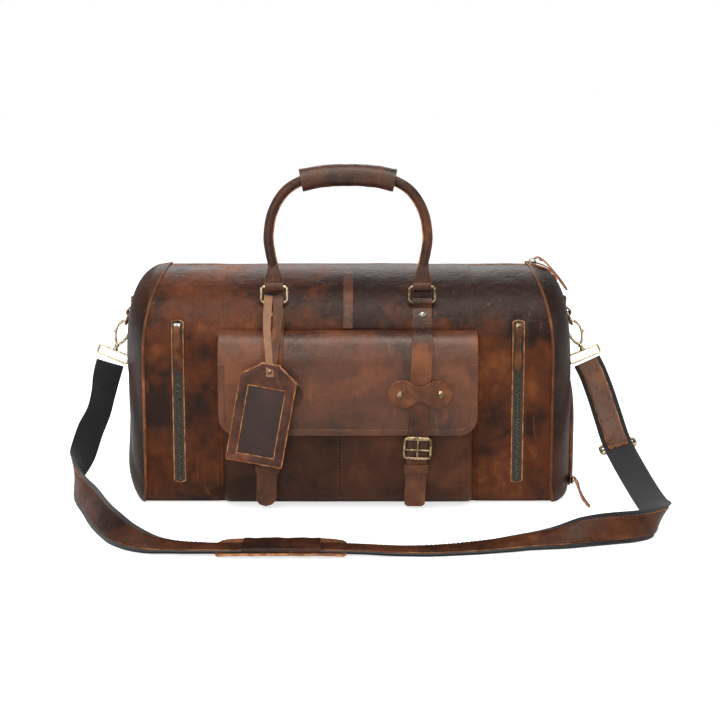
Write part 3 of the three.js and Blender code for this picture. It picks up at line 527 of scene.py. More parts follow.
rear = laid_sheet("rear_wrap", 150, 92, rear_place, body_leather, edge_tan,
                  tone=lambda p: 0.05 * noise.noise(p * 14))
thicken(rear, LEATHER, 0.0004)
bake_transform(rear)
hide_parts("rear_panel", "rear_lip")


# ------------------------------------------------------------------ base
# A dark leather base sewn round a stiff board, which stays hidden between it and the lining.
base_leather = leather_of("base_leather", (0.010, 0.005, 0.004, 1), (0.030, 0.012, 0.007, 1),
                          (0.10, 0.040, 0.02, 1), 1.0, -0.04)
BASE_HALF_LENGTH = 0.252


def base_place(u, v):
    return Vector(((u - 0.5) * 2 * BASE_HALF_LENGTH, (0.5 - v) * 2 * BASE_HALF,
                   0.0003 + 0.0006 * (1 - abs(2 * v - 1) ** 8)))


cut_sheet("base", 60, 24, base_place, (base_leather, edge_tan), LEATHER, 0, "root", "base_leather",
          "base_panel")
board_grey = two_tone("board_grey", (0.012, 0.011, 0.010, 1), (0.03, 0.028, 0.026, 1),
                      lambda tree, at: cloud(tree, at, 400.0), Roughness=0.9)
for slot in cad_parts["base_board"].material_slots:
    slot.material = board_grey


# ------------------------------------------------------------------ end panels
# Each end is one leather panel, in a darker copy of the body's leather that paints shade on it, eased round
# to the body and piped along the seam with a leather cord.
# The right one has an arched doorway to the shoe compartment.
END_X = 0.2795
DOOR_PLANE = 0.2762
END_CENTRE = (0.0, 0.118)
PIPING = 0.0019

half_loop = [(0.0, 0.0), (-BASE_HALF, 0.0), *front_section[1:], (0.0, TOP_Z)]
end_loop = half_loop + [(-y, z) for y, z in reversed(half_loop[:-1])]


def arch_line(half, top, bottom, corner):
    """A doorway's outline in (y, z), from the middle of its foot, on the front side first."""
    sweep = [math.pi / 2 * i / 10 for i in range(11)]
    side = [(0.0, bottom), (-half + 0.006, bottom), (-half, bottom + 0.006)]
    side += [(-half + corner - corner * math.cos(a), top - corner + corner * math.sin(a)) for a in sweep]
    return [*side, (0.0, top)] + [(-y, z) for y, z in reversed(side)]


door_arch = arch_line(0.078, 0.150, 0.014, 0.058)
doorway = arch_line(0.067, 0.139, 0.025, 0.047)


def end_place(side, inner=None, deepest=END_X):
    """An end panel's surface from its seam (v=0) to its middle or its doorway (v=1)."""
    def place(u, v):
        if side < 0:
            u = 1 - u
        (y, z), _ = along_line(end_loop, u)
        share = 1 - (1 - v) ** 1.6 if inner else v ** 1.15
        flank = min(1.0, abs(y) / HALF_DEPTH) ** 3
        cy, cz = along_line(inner, u)[0] if inner else END_CENTRE
        y, z, start = y + (cy - y) * share, z + (cz - z) * share, seam_x(z) - 0.0005
        boxy = 1 - flank
        x = start + (deepest - start) * (1 - (1 - share) ** (2.2 + 2.8 * boxy)) ** (1 / (1.15 + 1.05 * boxy))
        ripple = (0.0006 if inner else 0.0016) * noise.noise(Vector((y * 16, z * 16, side)))
        x += ripple * math.sin(math.pi * min(v * 1.2, 1))
        return Vector((side * x, y, z))

    return place


# The ends' leather is the body's, painted darker: painted shade on the end panels and the shoe door.
shaded_end_leather = leather_of("shaded_end_leather", (0.011, 0.0038, 0.0022, 1), (0.040, 0.0115, 0.0045, 1),
                         (0.085, 0.030, 0.013, 1), 1.0, -0.03)
right_surface = end_place(1, doorway, DOOR_PLANE)
cut_sheet("end_left", 144, 40, end_place(-1), (shaded_end_leather, edge_tan), LEATHER, 0, "root", "body_leather",
          "end_panel_left", closed=True)
cut_sheet("end_right", 144, 30, right_surface, (shaded_end_leather, edge_tan), LEATHER, 0.0004, "root",
          "body_leather", "end_panel_right", closed=True)


def cord_of(name, lines, radius, finish, body=None, slot=None, nodes=(), closed=False, sides=3):
    """Round cord or wire along one or more lines of points, made a mesh."""
    data = bpy.data.curves.new(name, "CURVE")
    data.dimensions = "3D"
    data.bevel_depth = radius
    data.bevel_resolution = sides
    data.use_fill_caps = True
    for line in lines:
        run = data.splines.new("POLY")
        run.points.add(len(line) - 1)
        run.points.foreach_set("co", [c for point in line for c in (*point, 1.0)])
        run.use_cyclic_u = closed
    bent = bpy.data.objects.new(name, data)
    bpy.context.collection.objects.link(bent)
    piece = bpy.data.objects.new(name, bpy.data.meshes.new_from_object(bent))
    bpy.data.objects.remove(bent)
    piece.name = name
    piece.data.name = name
    for face in piece.data.polygons:
        face.use_smooth = True
    piece.data.materials.clear()
    piece.data.materials.append(finish)
    bpy.context.collection.objects.link(piece)
    if body:
        settle(piece, body, slot, *nodes)
    return piece


piping_leather = leather_of("piping_leather", (0.05, 0.016, 0.007, 1), (0.13, 0.042, 0.016, 1),
                            (0.36, 0.13, 0.05, 1), 2.0, 0.02)
for name, side in (("left", -1), ("right", 1)):
    seam = []
    for i in range(150):
        (y, z), _ = along_line(end_loop, i / 150)
        centre = Vector((0, y - END_CENTRE[0], z - END_CENTRE[1]))
        seam.append(Vector((side * (seam_x(z) + 0.0004), y, z)) + centre.normalized() * 0.0006)
    for point in seam:
        point.z = max(point.z, PIPING)
    cord_of(f"end_piping_{name}", [seam], PIPING, piping_leather, "root", "body_leather", closed=True)


# ------------------------------------------------------------------ lining and shoe sleeve
# A cotton lining hangs inside the body, open at the mouth, and a cotton sleeve for shoes runs in from the
# right end's doorway.
lining_cotton = two_tone("lining_cotton", (0.10, 0.072, 0.045, 1), (0.17, 0.125, 0.085, 1),
                         lambda tree, at: cloud(tree, at, 1500.0, 2.0), 0.0003, Roughness=0.9,
                         Sheen_Weight=0.15)
LINING_GAP = 0.0034
LINING_TOP = 0.2555
LINING_LEFT = -0.2235
CLOTH = 0.0006
SLEEVE_BACK = 0.1462        # the sleeve's blind end
SLEEVE_DEPTH = 0.105
SLEEVE_MIDDLE = 0.08
BLIND_SHARE = 0.3           # the part of the sleeve's rows that closes its end
inside = [(y * (1 - LINING_GAP / HALF_DEPTH), z * 0.985 + 0.0035) for y, z in front_section
          if z < LINING_TOP]
inside = [*reversed(inside), *[(-y, z) for y, z in inside]]


def lining_place(u, v):
    (y, z), _ = along_line(inside, 1 - v)
    fold = 0.0014 * (noise.noise(Vector((u * 9, v * 22, 8.0))) - 0.6)
    return Vector((LINING_LEFT + u * 0.366, y * (1 + fold * 8), max(z + fold, 0.0085)))


def lining_end_place(u, v):
    z = 0.0095 + v * 0.243
    above = max(0.0, z - SHOULDER_Z) / (TOP_Z - SHOULDER_Z)
    reach = (HALF_DEPTH - 0.0045) * math.sqrt(max(0.0, 1 - above ** 2))
    return Vector((-0.2228 - 0.002 * noise.noise(Vector((u * 7, v * 7, 2.0))), (0.5 - u) * 2 * reach, z))


cut_sheet("lining_wall", 70, 110, lining_place, (lining_cotton,), CLOTH, 0, "root", "lining_cloth", "lining")
cut_sheet("lining_end", 30, 30, lining_end_place, (lining_cotton,), CLOTH, 0, "root", "lining_cloth")
sleeve_arch = arch_line(0.079, 0.149, 0.0105, 0.057)


def sleeve_place(u, v):
    (y, z), _ = along_line(sleeve_arch, u)
    if v < BLIND_SHARE:
        size = v / BLIND_SHARE
        x = SLEEVE_BACK - 0.001 * math.sin(size * 3.1)
    else:
        run = (v - BLIND_SHARE) / (1 - BLIND_SHARE)
        size = 1 + 0.010 * noise.noise(Vector((u * 20, run * 5, 3.0))) * math.sin(math.pi * run) - 0.008
        x = SLEEVE_BACK + run * SLEEVE_DEPTH
    return Vector((x, y * size, SLEEVE_MIDDLE + (z - SLEEVE_MIDDLE) * size))


cut_sheet("shoe_sleeve", 80, 36, sleeve_place, (lining_cotton,), CLOTH, 0, "root", "lining_cloth",
          "shoe_tunnel", closed=True)


# ------------------------------------------------------------------ stitching
# Waxed tan thread in stitches of under three millimetres, four millimetres apart, sunk a little in the
# leather. Rows run up both laps of the front and both edges of the strip over its middle seam.
thread_tan = two_tone("thread_tan", (0.06, 0.024, 0.011, 1), (0.14, 0.062, 0.028, 1),
                      lambda tree, at: cloud(tree, at, 300.0), Roughness=0.6)


def stitches(name, lines, body, pitch=0.0040, size=0.0027, thick=0.00034):
    """Rows of stitches along lines of points, fixed to a body."""
    mesh = bmesh.new()
    for line in lines:
        line = [Vector(point) for point in line]
        count = max(1, int(sum((b - a).length for a, b in zip(line, line[1:])) / pitch))
        for i in range(count):
            point, direction = along_line(line, (i + 0.5) / count)
            turn = Vector(direction).to_track_quat("X", "Z").to_matrix().to_4x4()
            bmesh.ops.create_icosphere(mesh, subdivisions=1, radius=1.0, matrix=(
                Matrix.Translation(point) @ turn @ Matrix.Diagonal((size / 2, thick, thick, 1))))
    return settle(new_piece(name, mesh, thread_tan), body, "trim_leather")


def up_the_front(x, low, high, lift, count=40):
    """Points up the front panel at one x, between two shares of its section."""
    return [body_point(x, low + (high - low) * i / count, -1, lift) for i in range(count + 1)]


for name, side in (("left", -1), ("right", 1)):
    stitches(f"lap_stitches_{name}", [up_the_front(side * (LAP_X + out), 0.05, 0.88, 0.0016)
                                      for out in (0.0008, -0.0035)], "root")

# The joining strip over the middle seam, above the pocket, double stitched.
SEAM_STRIP = 0.006
trim_leather = leather_of("trim_leather", (0.022, 0.007, 0.004, 1), (0.075, 0.022, 0.008, 1),
                          (0.20, 0.064, 0.022, 1), 1.6, 0.0, 0.0005, 0.40)
trim = (trim_leather, edge_tan)
STRIP_SHARES = (0.605, 0.88)    # its foot and its top along the front section


def strip_place(u, v):
    share = STRIP_SHARES[0] + (STRIP_SHARES[1] - STRIP_SHARES[0]) * v
    return body_point((u - 0.5) * 2 * SEAM_STRIP, share, -1, 0.0028)


cut_sheet("middle_strip", 6, 36, strip_place, trim, 0.0014, 0.0003, "root", "trim_leather")
stitches("middle_strip_stitches", [up_the_front(x, *STRIP_SHARES, 0.0029)
                                   for x in (-0.0042, 0.0042)], "root")


# ------------------------------------------------------------------ front pocket
# A flat leather pocket with round-cornered side walls, sewn to the front below the flap. One short
# stitched seam runs up it.
POCKET_HALF = 0.152
POCKET_BACK = -0.1206
POCKET_DEPTH = 0.0248
POCKET_Z = (0.0045, 0.186)
POCKET_SEAM_X = -0.010
POCKET_FOOT = 0.015

pocket_plan = [(-POCKET_HALF, 0.0), (-POCKET_HALF, 0.6)]
pocket_plan += [(-POCKET_HALF + 0.012 - 0.012 * math.cos(a), 1 - 0.45 + 0.45 * math.sin(a))
                for a in [math.pi / 2 * i / 8 for i in range(1, 9)]]
pocket_plan += [(-POCKET_HALF + 0.012 + (2 * POCKET_HALF - 0.024) * i / 60, 1.0) for i in range(1, 60)]
pocket_plan += [(-x, d) for x, d in reversed(pocket_plan[:10])]


def between_rows(rows, share):
    """The row at a share of a table of rows, mixed from the two it falls between."""
    at = share * (len(rows) - 1)
    low = min(int(at), len(rows) - 2)
    return [p + (q - p) * (at - low) for p, q in zip(rows[low], rows[low + 1])]


def pocket_place(u, v):
    height = v ** 1.35 * (POCKET_Z[1] - POCKET_Z[0])
    z = POCKET_Z[0] + height
    foot = math.sqrt(1 - (1 - min(1.0, height / POCKET_FOOT)) ** 2)
    x, deep = between_rows(pocket_plan, u)
    x *= 1 - 0.02 * (1 - foot)
    sag = 0.0011 * noise.noise(Vector((x * 16, z * 20, 9.0))) - 0.0004
    seam = 0.0007 * math.exp(-((x - POCKET_SEAM_X) / 0.0014) ** 2)
    deep = deep * (POCKET_DEPTH * foot * (1 - 0.10 * max(0.0, (z - 0.14) / 0.046))
                   + sag * foot) - seam * (deep > 0.9)
    return Vector((x, POCKET_BACK - deep, z))


POCKET_SPOTS = [(-0.100, 0.030, 0.030, -0.05), (-0.040, 0.060, 0.030, 0.05), (0.030, 0.030, 0.030, -0.04),
                (0.060, 0.070, 0.025, 0.05), (0.130, 0.050, 0.030, 0.04), (-0.140, 0.060, 0.02, 0.05)]
pocket_leather = leather_of("pocket_leather", (0.018, 0.006, 0.0030, 1), (0.042, 0.014, 0.0070, 1),
                            (0.10, 0.034, 0.016, 1), 1.0, 0.0, 0.0007, 0.2)
cut_sheet("front_pocket", 160, 60, pocket_place, (pocket_leather, edge_tan), 0.002, 0.0004, "root",
          "body_leather", "pocket_body", tone=tone_from(POCKET_SPOTS))
stitches("pocket_seam_stitches", [[(POCKET_SEAM_X + dx, POCKET_BACK - POCKET_DEPTH - 0.0004, z / 1000)
                                   for z in range(22, 98, 4)] for dx in (-0.003, 0.003)], "root")


# ------------------------------------------------------------------ flap
# One piece of soft leather, folded over the pocket from its top seam, with round lower corners and a
# stitched border strip along its free edges.
FLAP_HALF = 0.156
FLAP_CORNER = 0.023
FLAP_LOW = 0.093
FLAP_FACE = -0.1498


def bend(first, control, last, count):
    """Points (y, z) on a quadratic bend."""
    shares = [i / count for i in range(count + 1)]
    return [tuple((1 - t) ** 2 * a + 2 * t * (1 - t) * b + t * t * c
                  for a, b, c in zip(first, control, last)) for t in shares]


flap_line = [*bend((-0.1213, 0.2178), (-0.1463, 0.2153), (FLAP_FACE, 0.1838), 14), (FLAP_FACE, FLAP_LOW)]


def flap_reach(z):
    """Half width of the flap at a height, round its lower corners."""
    low = max(0.0, FLAP_CORNER - (z - FLAP_LOW))
    return FLAP_HALF - FLAP_CORNER + math.sqrt(max(0.0, FLAP_CORNER ** 2 - low ** 2))


def flap_place(u, v):
    (y, z), (dy, dz) = along_line(flap_line, 1 - (1 - v) ** 1.25)
    x = (1 - 2 * u) * -flap_reach(max(z, FLAP_LOW + 0.0004))
    sag = 0.0009 * noise.noise(Vector((x * 14, z * 16, 21.0)))
    sag += 0.0003 * noise.noise(Vector((x * 45, z * 60, 4.0)))
    sag += 0.0007 * math.sin(math.pi * v) - 0.0003
    return Vector((x, y + dz * sag, z - dy * sag))


# Light and dark places of the flap: x, z, size and strength. The light spots along its upper curve are a
# painted sheen; the others lighten or darken it in patches.
FLAP_SHEEN_AND_TONE_SPOTS = [(-0.130, 0.180, 0.035, 0.10), (-0.050, 0.170, 0.035, 0.08), (0.010, 0.185, 0.040, 0.07),
              (0.040, 0.135, 0.030, -0.05), (0.000, 0.110, 0.040, -0.06), (-0.050, 0.125, 0.025, 0.04),
              (0.120, 0.180, 0.035, 0.05), (0.130, 0.120, 0.025, -0.05), (0.070, 0.165, 0.02, 0.05)]
flap_leather = leather_of("flap_leather", (0.020, 0.0060, 0.0030, 1), (0.078, 0.020, 0.0065, 1),
                          (0.18, 0.052, 0.017, 1), 1.2, 0.0, 0.0005, 0.62)
cut_sheet("flap", 150, 70, flap_place, (flap_leather, edge_tan), 0.0026, 0.0005, "flap", "body_leather",
          "flap", tone=tone_from(FLAP_SHEEN_AND_TONE_SPOTS), flipped=True)

border_line = [(-FLAP_HALF, 0.180 - i * 0.004) for i in range(16)]
border_line += [(-FLAP_HALF + FLAP_CORNER - FLAP_CORNER * math.cos(a),
                 FLAP_LOW + FLAP_CORNER - FLAP_CORNER * math.sin(a))
                for a in [math.pi / 2 * i / 12 for i in range(13)]]
border_line += [(-x, z) for x, z in reversed(border_line)]
BORDER = 0.0075


def border_place(u, v, lift=0.0011):
    (x, z), (dx, dz) = along_line(border_line, u)
    x, z = x - dz * BORDER * v, z + dx * BORDER * v
    sag = 0.0009 * noise.noise(Vector((x * 14, z * 16, 21.0)))
    return Vector((x, FLAP_FACE - lift - sag * 0.6, z))


cut_sheet("flap_border", 170, 4, border_place, (flap_leather, edge_tan), 0.0009, 0.0002, "flap",
          "body_leather")
stitches("flap_stitches", [[border_place(i / 170, 0.72, lift=0.0012) for i in range(171)]], "flap")


# ------------------------------------------------------------------ buckle straps
# Two cut straps with raw tan edges, sewn over the flap's top seam, each with a roller buckle. A riveted
# bow-shaped plate holds each strap down, and a loop takes its tail.
STRAP_X = 0.090
STRAP_HALF = 0.0125
STRAP_SLANT = 0.045
STRAP_TOP = 0.219
STRAP_FACE = -0.1531
BUCKLE_Z = 0.078
KEEPER_Z = 0.144
KEEPER_HALF = 0.039
LOOP_Z = 0.052


def metal_of(name, bright, dull, tarnish=0.5):
    """Cast and plated metal, darker where the plating is tarnished, its roughness varying in patches of its
    own.
    """
    material, tree, shader = finish_of(name, Metallic=1.0)
    spot = node(tree, "ShaderNodeTexCoord").outputs["Object"]
    worn = steps_between(tree, cloud(tree, spot, 220.0, 4.0), tarnish - 0.15, tarnish + 0.2)
    tree.links.new(blended(tree, worn, bright, dull), shader.inputs["Base Color"])
    tree.links.new(steps_between(tree, cloud(tree, spot, 350.0), 0.3, 0.7, 0.22, 0.42),
                   shader.inputs["Roughness"])
    raise_surface(tree, shader, cloud(tree, spot, 700.0), 0.0001)
    return material


bright_gold = metal_of("bright_gold", (0.74, 0.62, 0.40, 1), (0.36, 0.27, 0.14, 1), 0.55)
antique_brass = metal_of("antique_brass", (0.50, 0.36, 0.20, 1), (0.14, 0.095, 0.055, 1), 0.45)
steel = metal_of("plated_steel", (0.50, 0.48, 0.44, 1), (0.24, 0.22, 0.19, 1), 0.5)

buckle_line = [*bend((-0.1222, 0.2213), (-0.1495, 0.2190), (STRAP_FACE, 0.1838), 14), (STRAP_FACE, 0.046),
               (STRAP_FACE - 0.0012, 0.034), (STRAP_FACE - 0.0045, 0.007)]


def strap_middle(z, side):
    return side * STRAP_X + STRAP_SLANT * (z - STRAP_TOP)


def strap_place(side, round_end):
    def place(u, v):
        (y, z), (dy, dz) = along_line(buckle_line, v)
        left = (1 - v) * 0.235
        short = max(0.0, round_end - left)
        half = STRAP_HALF - round_end + math.sqrt(max(0.0, round_end ** 2 - short ** 2))
        out = 0.0003 * noise.noise(Vector((u * 2, z * 40, side))) - 0.0003 * abs(2 * u - 1) ** 4
        return Vector((strap_middle(z, side) + (2 * u - 1) * half, y + dz * out, z - dy * out))
    return place


def dome(mesh, centre, radius, height, outward=(0, -1, 0)):
    """A rivet's low dome on its flat rim, facing outward."""
    turn = Vector(outward).to_track_quat("Z", "Y").to_matrix().to_4x4()
    at = Matrix.Translation(centre) @ turn
    rim_at = at @ Matrix.Translation((0, 0, height * 0.1))
    bmesh.ops.create_cone(mesh, cap_ends=True, segments=20, radius1=radius, radius2=radius * 0.93,
                          depth=height * 0.5, matrix=rim_at)
    bmesh.ops.create_uvsphere(mesh, u_segments=20, v_segments=10, radius=1.0,
                              matrix=at @ Matrix.Diagonal((radius * 0.84, radius * 0.84, height, 1)))


def rivet(name, spot, radius, height, finish, body, outward=(0, -1, 0)):
    """One rivet as a piece of its own."""
    head = bmesh.new()
    dome(head, spot, radius, height, outward)
    settle(new_piece(name, head, finish), body, "brass")


def eased(share):
    """A share from 0 to 1, slow at both ends."""
    return share * share * (3 - 2 * share)


def turned(degrees, axis):
    """A turn about an axis."""
    return Matrix.Rotation(math.radians(degrees), 4, axis)


def rounded_loop(half_width, half_height, corner, steps=5):
    """Points (u, v) round a rectangle with round corners."""
    points = []
    for quarter, (su, sv) in enumerate(((1, 1), (-1, 1), (-1, -1), (1, -1))):
        for i in range(steps + 1):
            turn = math.pi / 2 * (quarter + i / steps)
            points.append((su * (half_width - corner) + corner * math.cos(turn),
                           sv * (half_height - corner) + corner * math.sin(turn)))
    return points


# The prong's line, from its hinge at the foot of the buckle to its tip on the roller.
PRONG = [(0, 0.0002, -0.0125), (0, -0.0022, -0.0105), (0, -0.0024, -0.004), (0, -0.0024, 0.004),
         (0, -0.0031, 0.010), (0, -0.0034, 0.0132), (0, -0.0024, 0.0152)]
# The tail loop in section: x and how far it stands out of the strap's face.
LOOP_PLAN = [(-0.0148, 0.0028), (-0.0148, -0.0006), (-0.0136, -0.0020), (0.0136, -0.0020),
             (0.0148, -0.0006), (0.0148, 0.0028)]


# The buckle straps' tone: lighter round z 0.19, where they bend over the flap's top, a painted sheen like
# the flap's, and darker round z 0.11.
def belt_sheen_tone(point):
    return (0.10 * math.exp(-((point.z - 0.19) / 0.02) ** 2)
            - 0.05 * math.exp(-((point.z - 0.11) / 0.02) ** 2))


def loop_place(side):
    def place(u, v):
        (x, out), _ = along_line(LOOP_PLAN, u)
        return Vector((strap_middle(LOOP_Z, side) + x, STRAP_FACE + out - 0.0004,
                       LOOP_Z + (v - 0.5) * 0.0095))

    return place


def keeper_place(side):
    def place(u, v):
        t = 2 * u - 1
        t = math.copysign(1 - (1 - abs(t)) ** 1.5, t)
        x, far = t * KEEPER_HALF, abs(t)
        height = 0.0085 + 0.0080 * eased(min(1.0, far / 0.5))
        height *= math.sqrt(max(0.0, 1 - (max(0.0, far - 0.58) / 0.42) ** 2))
        y = STRAP_FACE - 0.0026 + 0.0029 * eased(clamped((abs(x) - 0.0128) / 0.0075))
        y -= 0.0003 * math.cos(6.3 * far) * (1 - abs(2 * v - 1))
        return Vector((strap_middle(KEEPER_Z, side) + x, y, KEEPER_Z + (2 * v - 1) * height + 0.0001))
    return place


for name, side in (("left", -1), ("right", 1)):
    round_end = 0.0124 if side < 0 else 0.0042
    surface = strap_place(side, round_end)
    cut_sheet(f"buckle_strap_{name}", 12, 110, surface, trim, 0.0026, 0.0005, "flap", "trim_leather",
              f"buckle_strap_{name}", tone=belt_sheen_tone, flipped=True)
    rows = [[surface(edge_at, v / 100) + Vector((0, -0.0001, 0)) for v in range(3, 93)]
            for edge_at in (0.13, 0.87)]
    stitches(f"buckle_strap_stitches_{name}", rows, "flap")

    cut_sheet(f"strap_keeper_{name}", 60, 16, keeper_place(side), trim, 0.0022, 0.0004, "flap",
              "trim_leather", f"strap_keeper_{name}", tone=lambda p: 0.03)
    heads = bmesh.new()
    for x in (-0.024, 0.024):
        dome(heads, (strap_middle(KEEPER_Z, side) + x, STRAP_FACE + 0.0002, KEEPER_Z), 0.0042, 0.0019)
    settle(new_piece(f"keeper_rivets_{name}", heads, antique_brass), "flap", "brass")
    cut_sheet(f"strap_loop_{name}", 40, 5, loop_place(side), trim, 0.0015, 0.0003, "flap", "trim_leather")

    buckle_at = Matrix.Translation((strap_middle(BUCKLE_Z, side), STRAP_FACE - 0.0021, BUCKLE_Z))
    buckle_at = buckle_at @ Matrix.Rotation(math.atan(STRAP_SLANT), 4, "Y")
    prong_body = "prong_right" if side > 0 else "flap"
    for part, line, radius, body, sides, nodes in (
        ("", [(u, 0, v) for u, v in rounded_loop(0.0158, 0.0121, 0.0040)], 0.0018, "flap", 4,
         [f"buckle_{name}"]),
        ("roller_", [(x / 1000, 0, 0.0121) for x in range(-12, 13, 2)], 0.0026, "flap", 5, []),
        ("bar_", [(x / 1000, 0.0004, -0.002) for x in range(-15, 16, 5)], 0.0013, "flap", 3, []),
        ("prong_", PRONG, 0.0013, prong_body, 4, [f"buckle_prong_{name}"]),
    ):
        cord_of(f"buckle_{part}{name}", [[buckle_at @ Vector(point) for point in line]], radius,
                antique_brass, body, "brass", nodes, closed=part == "", sides=sides)


# ------------------------------------------------------------------ chapes and handle rings
# Doubled leather chapes, sewn at the shoulder and riveted, hold cast rectangular rings, two in front and
# two behind. The left front ring has kept its bright plating.
RING_Y = 0.1065
RING_Z = 0.2495
RING_PITCH = 0.0192
REAR_RING_TILT = 105        # the rear rings lie back; the front ones stand
turned_back = Matrix.Rotation(math.pi, 4, "Z")


def arc(centre, radius, start, turn, count):
    """Points round a centre, from a start angle on by equal turns, in degrees."""
    angles = [math.radians(start + turn * i) for i in range(count)]
    return [(centre[0] + radius * math.cos(a), centre[1] + radius * math.sin(a)) for a in angles]


chape_line = []
for z in (0.2192, 0.224, 0.229, 0.234, 0.2385, 0.2425):
    on_section = HALF_DEPTH * math.sqrt(1 - ((z - SHOULDER_Z) / (TOP_Z - SHOULDER_Z)) ** 2)
    chape_line.append((-on_section - 0.0046, z))
chape_line += arc((-RING_Y, RING_Z), 0.0047, 185, -21, 11)
chape_line.append((-0.1005, 0.2435))

for bench, facing, place_back in (("front", 1, Matrix.Identity(4)), ("rear", -1, turned_back)):
    tilt = 0 if facing > 0 else REAR_RING_TILT
    ring_frame = place_back @ Matrix.Translation((0, -RING_Y, RING_Z)) @ turned(tilt, "X")
    for name, side in (("left", -1), ("right", 1)):
        x = facing * side * STRAP_X

        def chape_place(u, v, x=x, back=place_back):
            return back @ Vector((x + (0.5 - u) * 0.0236, *along_line(chape_line, v)[0]))

        cut_sheet(f"{bench}_chape_{name}", 10, 60, chape_place, trim, 0.0024, 0.0004, "root",
                  "trim_leather", f"{bench}_chape_{name}", flipped=True)
        rivet(f"{bench}_chape_rivet_{name}", place_back @ Vector((x, -0.1135, 0.2362)), 0.0042, 0.0021,
              steel, "root", place_back.to_3x3() @ Vector((0, -0.86, 0.5)))
        loop_line = [ring_frame @ Vector((x + u, 0, RING_PITCH / 2 + v))
                     for u, v in rounded_loop(0.0156, RING_PITCH / 2, 0.0042)]
        plating = bright_gold if (bench, name) == ("front", "left") else antique_brass
        cord_of(f"{bench}_ring_{name}", [loop_line], 0.0017, plating, f"{bench}_rings", "brass",
                [f"{bench}_ring_{name}"], closed=True, sides=4)


# ------------------------------------------------------------------ handles
# A rolled leather handle on each side of the mouth, its raw seam inside the arch, fanned flat at its feet
# and turned round the rings; a leather wrap, stitched underneath, makes the grip.
ARCH = [(0.090, 0.004), (0.090, 0.012), (0.0913, 0.025), (0.095, 0.042), (0.097, 0.062), (0.092, 0.090),
        (0.078, 0.114), (0.057, 0.128), (0.030, 0.133), (0.0, 0.1345)]
arch_rows = [(-x, z) for x, z in ARCH] + [(x, z) for x, z in reversed(ARCH[:-1])]
handle_line = spline(arch_rows, 6)
grip_rows = [(-x, z) for x, z in ARCH[-3:]] + [(x, z) for x, z in reversed(ARCH[-3:-1])]
grip_line = spline(grip_rows, 8)
HANDLE_RADIUS = 0.0056
FOOT = 0.030
EYE_RADIUS = 0.0046     # the leather turned round a ring's top bar


def handle_place(at):
    def place(u, v):
        (x, z), (dx, dz) = along_line(handle_line, v)
        foot = min(v, 1 - v) * 0.46
        flat = max(0.0, 1 - foot / FOOT) ** 1.4
        across = HANDLE_RADIUS + (0.0112 - HANDLE_RADIUS) * flat
        deep = HANDLE_RADIUS + (0.0026 - HANDLE_RADIUS) * min(1.0, flat * 1.6)
        turn = 2 * math.pi * u
        power = 1 - 0.35 * flat
        a = math.copysign(abs(math.cos(turn)) ** power, math.cos(turn)) * across
        b = math.copysign(abs(math.sin(turn)) ** power, math.sin(turn)) * deep
        b += 0.0002 * noise.noise(Vector((v * 40, u * 5, 2.0)))
        return at @ Vector((x - dz * a, b, z + dx * a))
    return place


def face_outward(piece, open_ends=False):
    """Turns a closed piece's faces outward, after filling its open ends if it has any."""
    mesh = bmesh.new()
    mesh.from_mesh(piece.data)
    if open_ends:
        bmesh.ops.holes_fill(mesh, edges=mesh.edges)
    bmesh.ops.recalc_face_normals(mesh, faces=mesh.faces)
    mesh.to_mesh(piece.data)
    mesh.free()
    return piece


def grip_place(at):
    def place(u, v):
        (x, z), (dx, dz) = along_line(grip_line, v)
        turn = 2 * math.pi * u - math.pi / 2
        radius = 0.0118 + 0.0005 * noise.noise(Vector((v * 9, u * 6, 6.0)))
        radius += 0.0007 * abs(2 * v - 1) ** 8 - 0.0006 * max(0.0, -math.sin(turn)) ** 3
        a, b = math.sin(turn) * radius, math.cos(turn) * radius
        return at @ Vector((x - dz * a, b, z + dx * a))
    return place


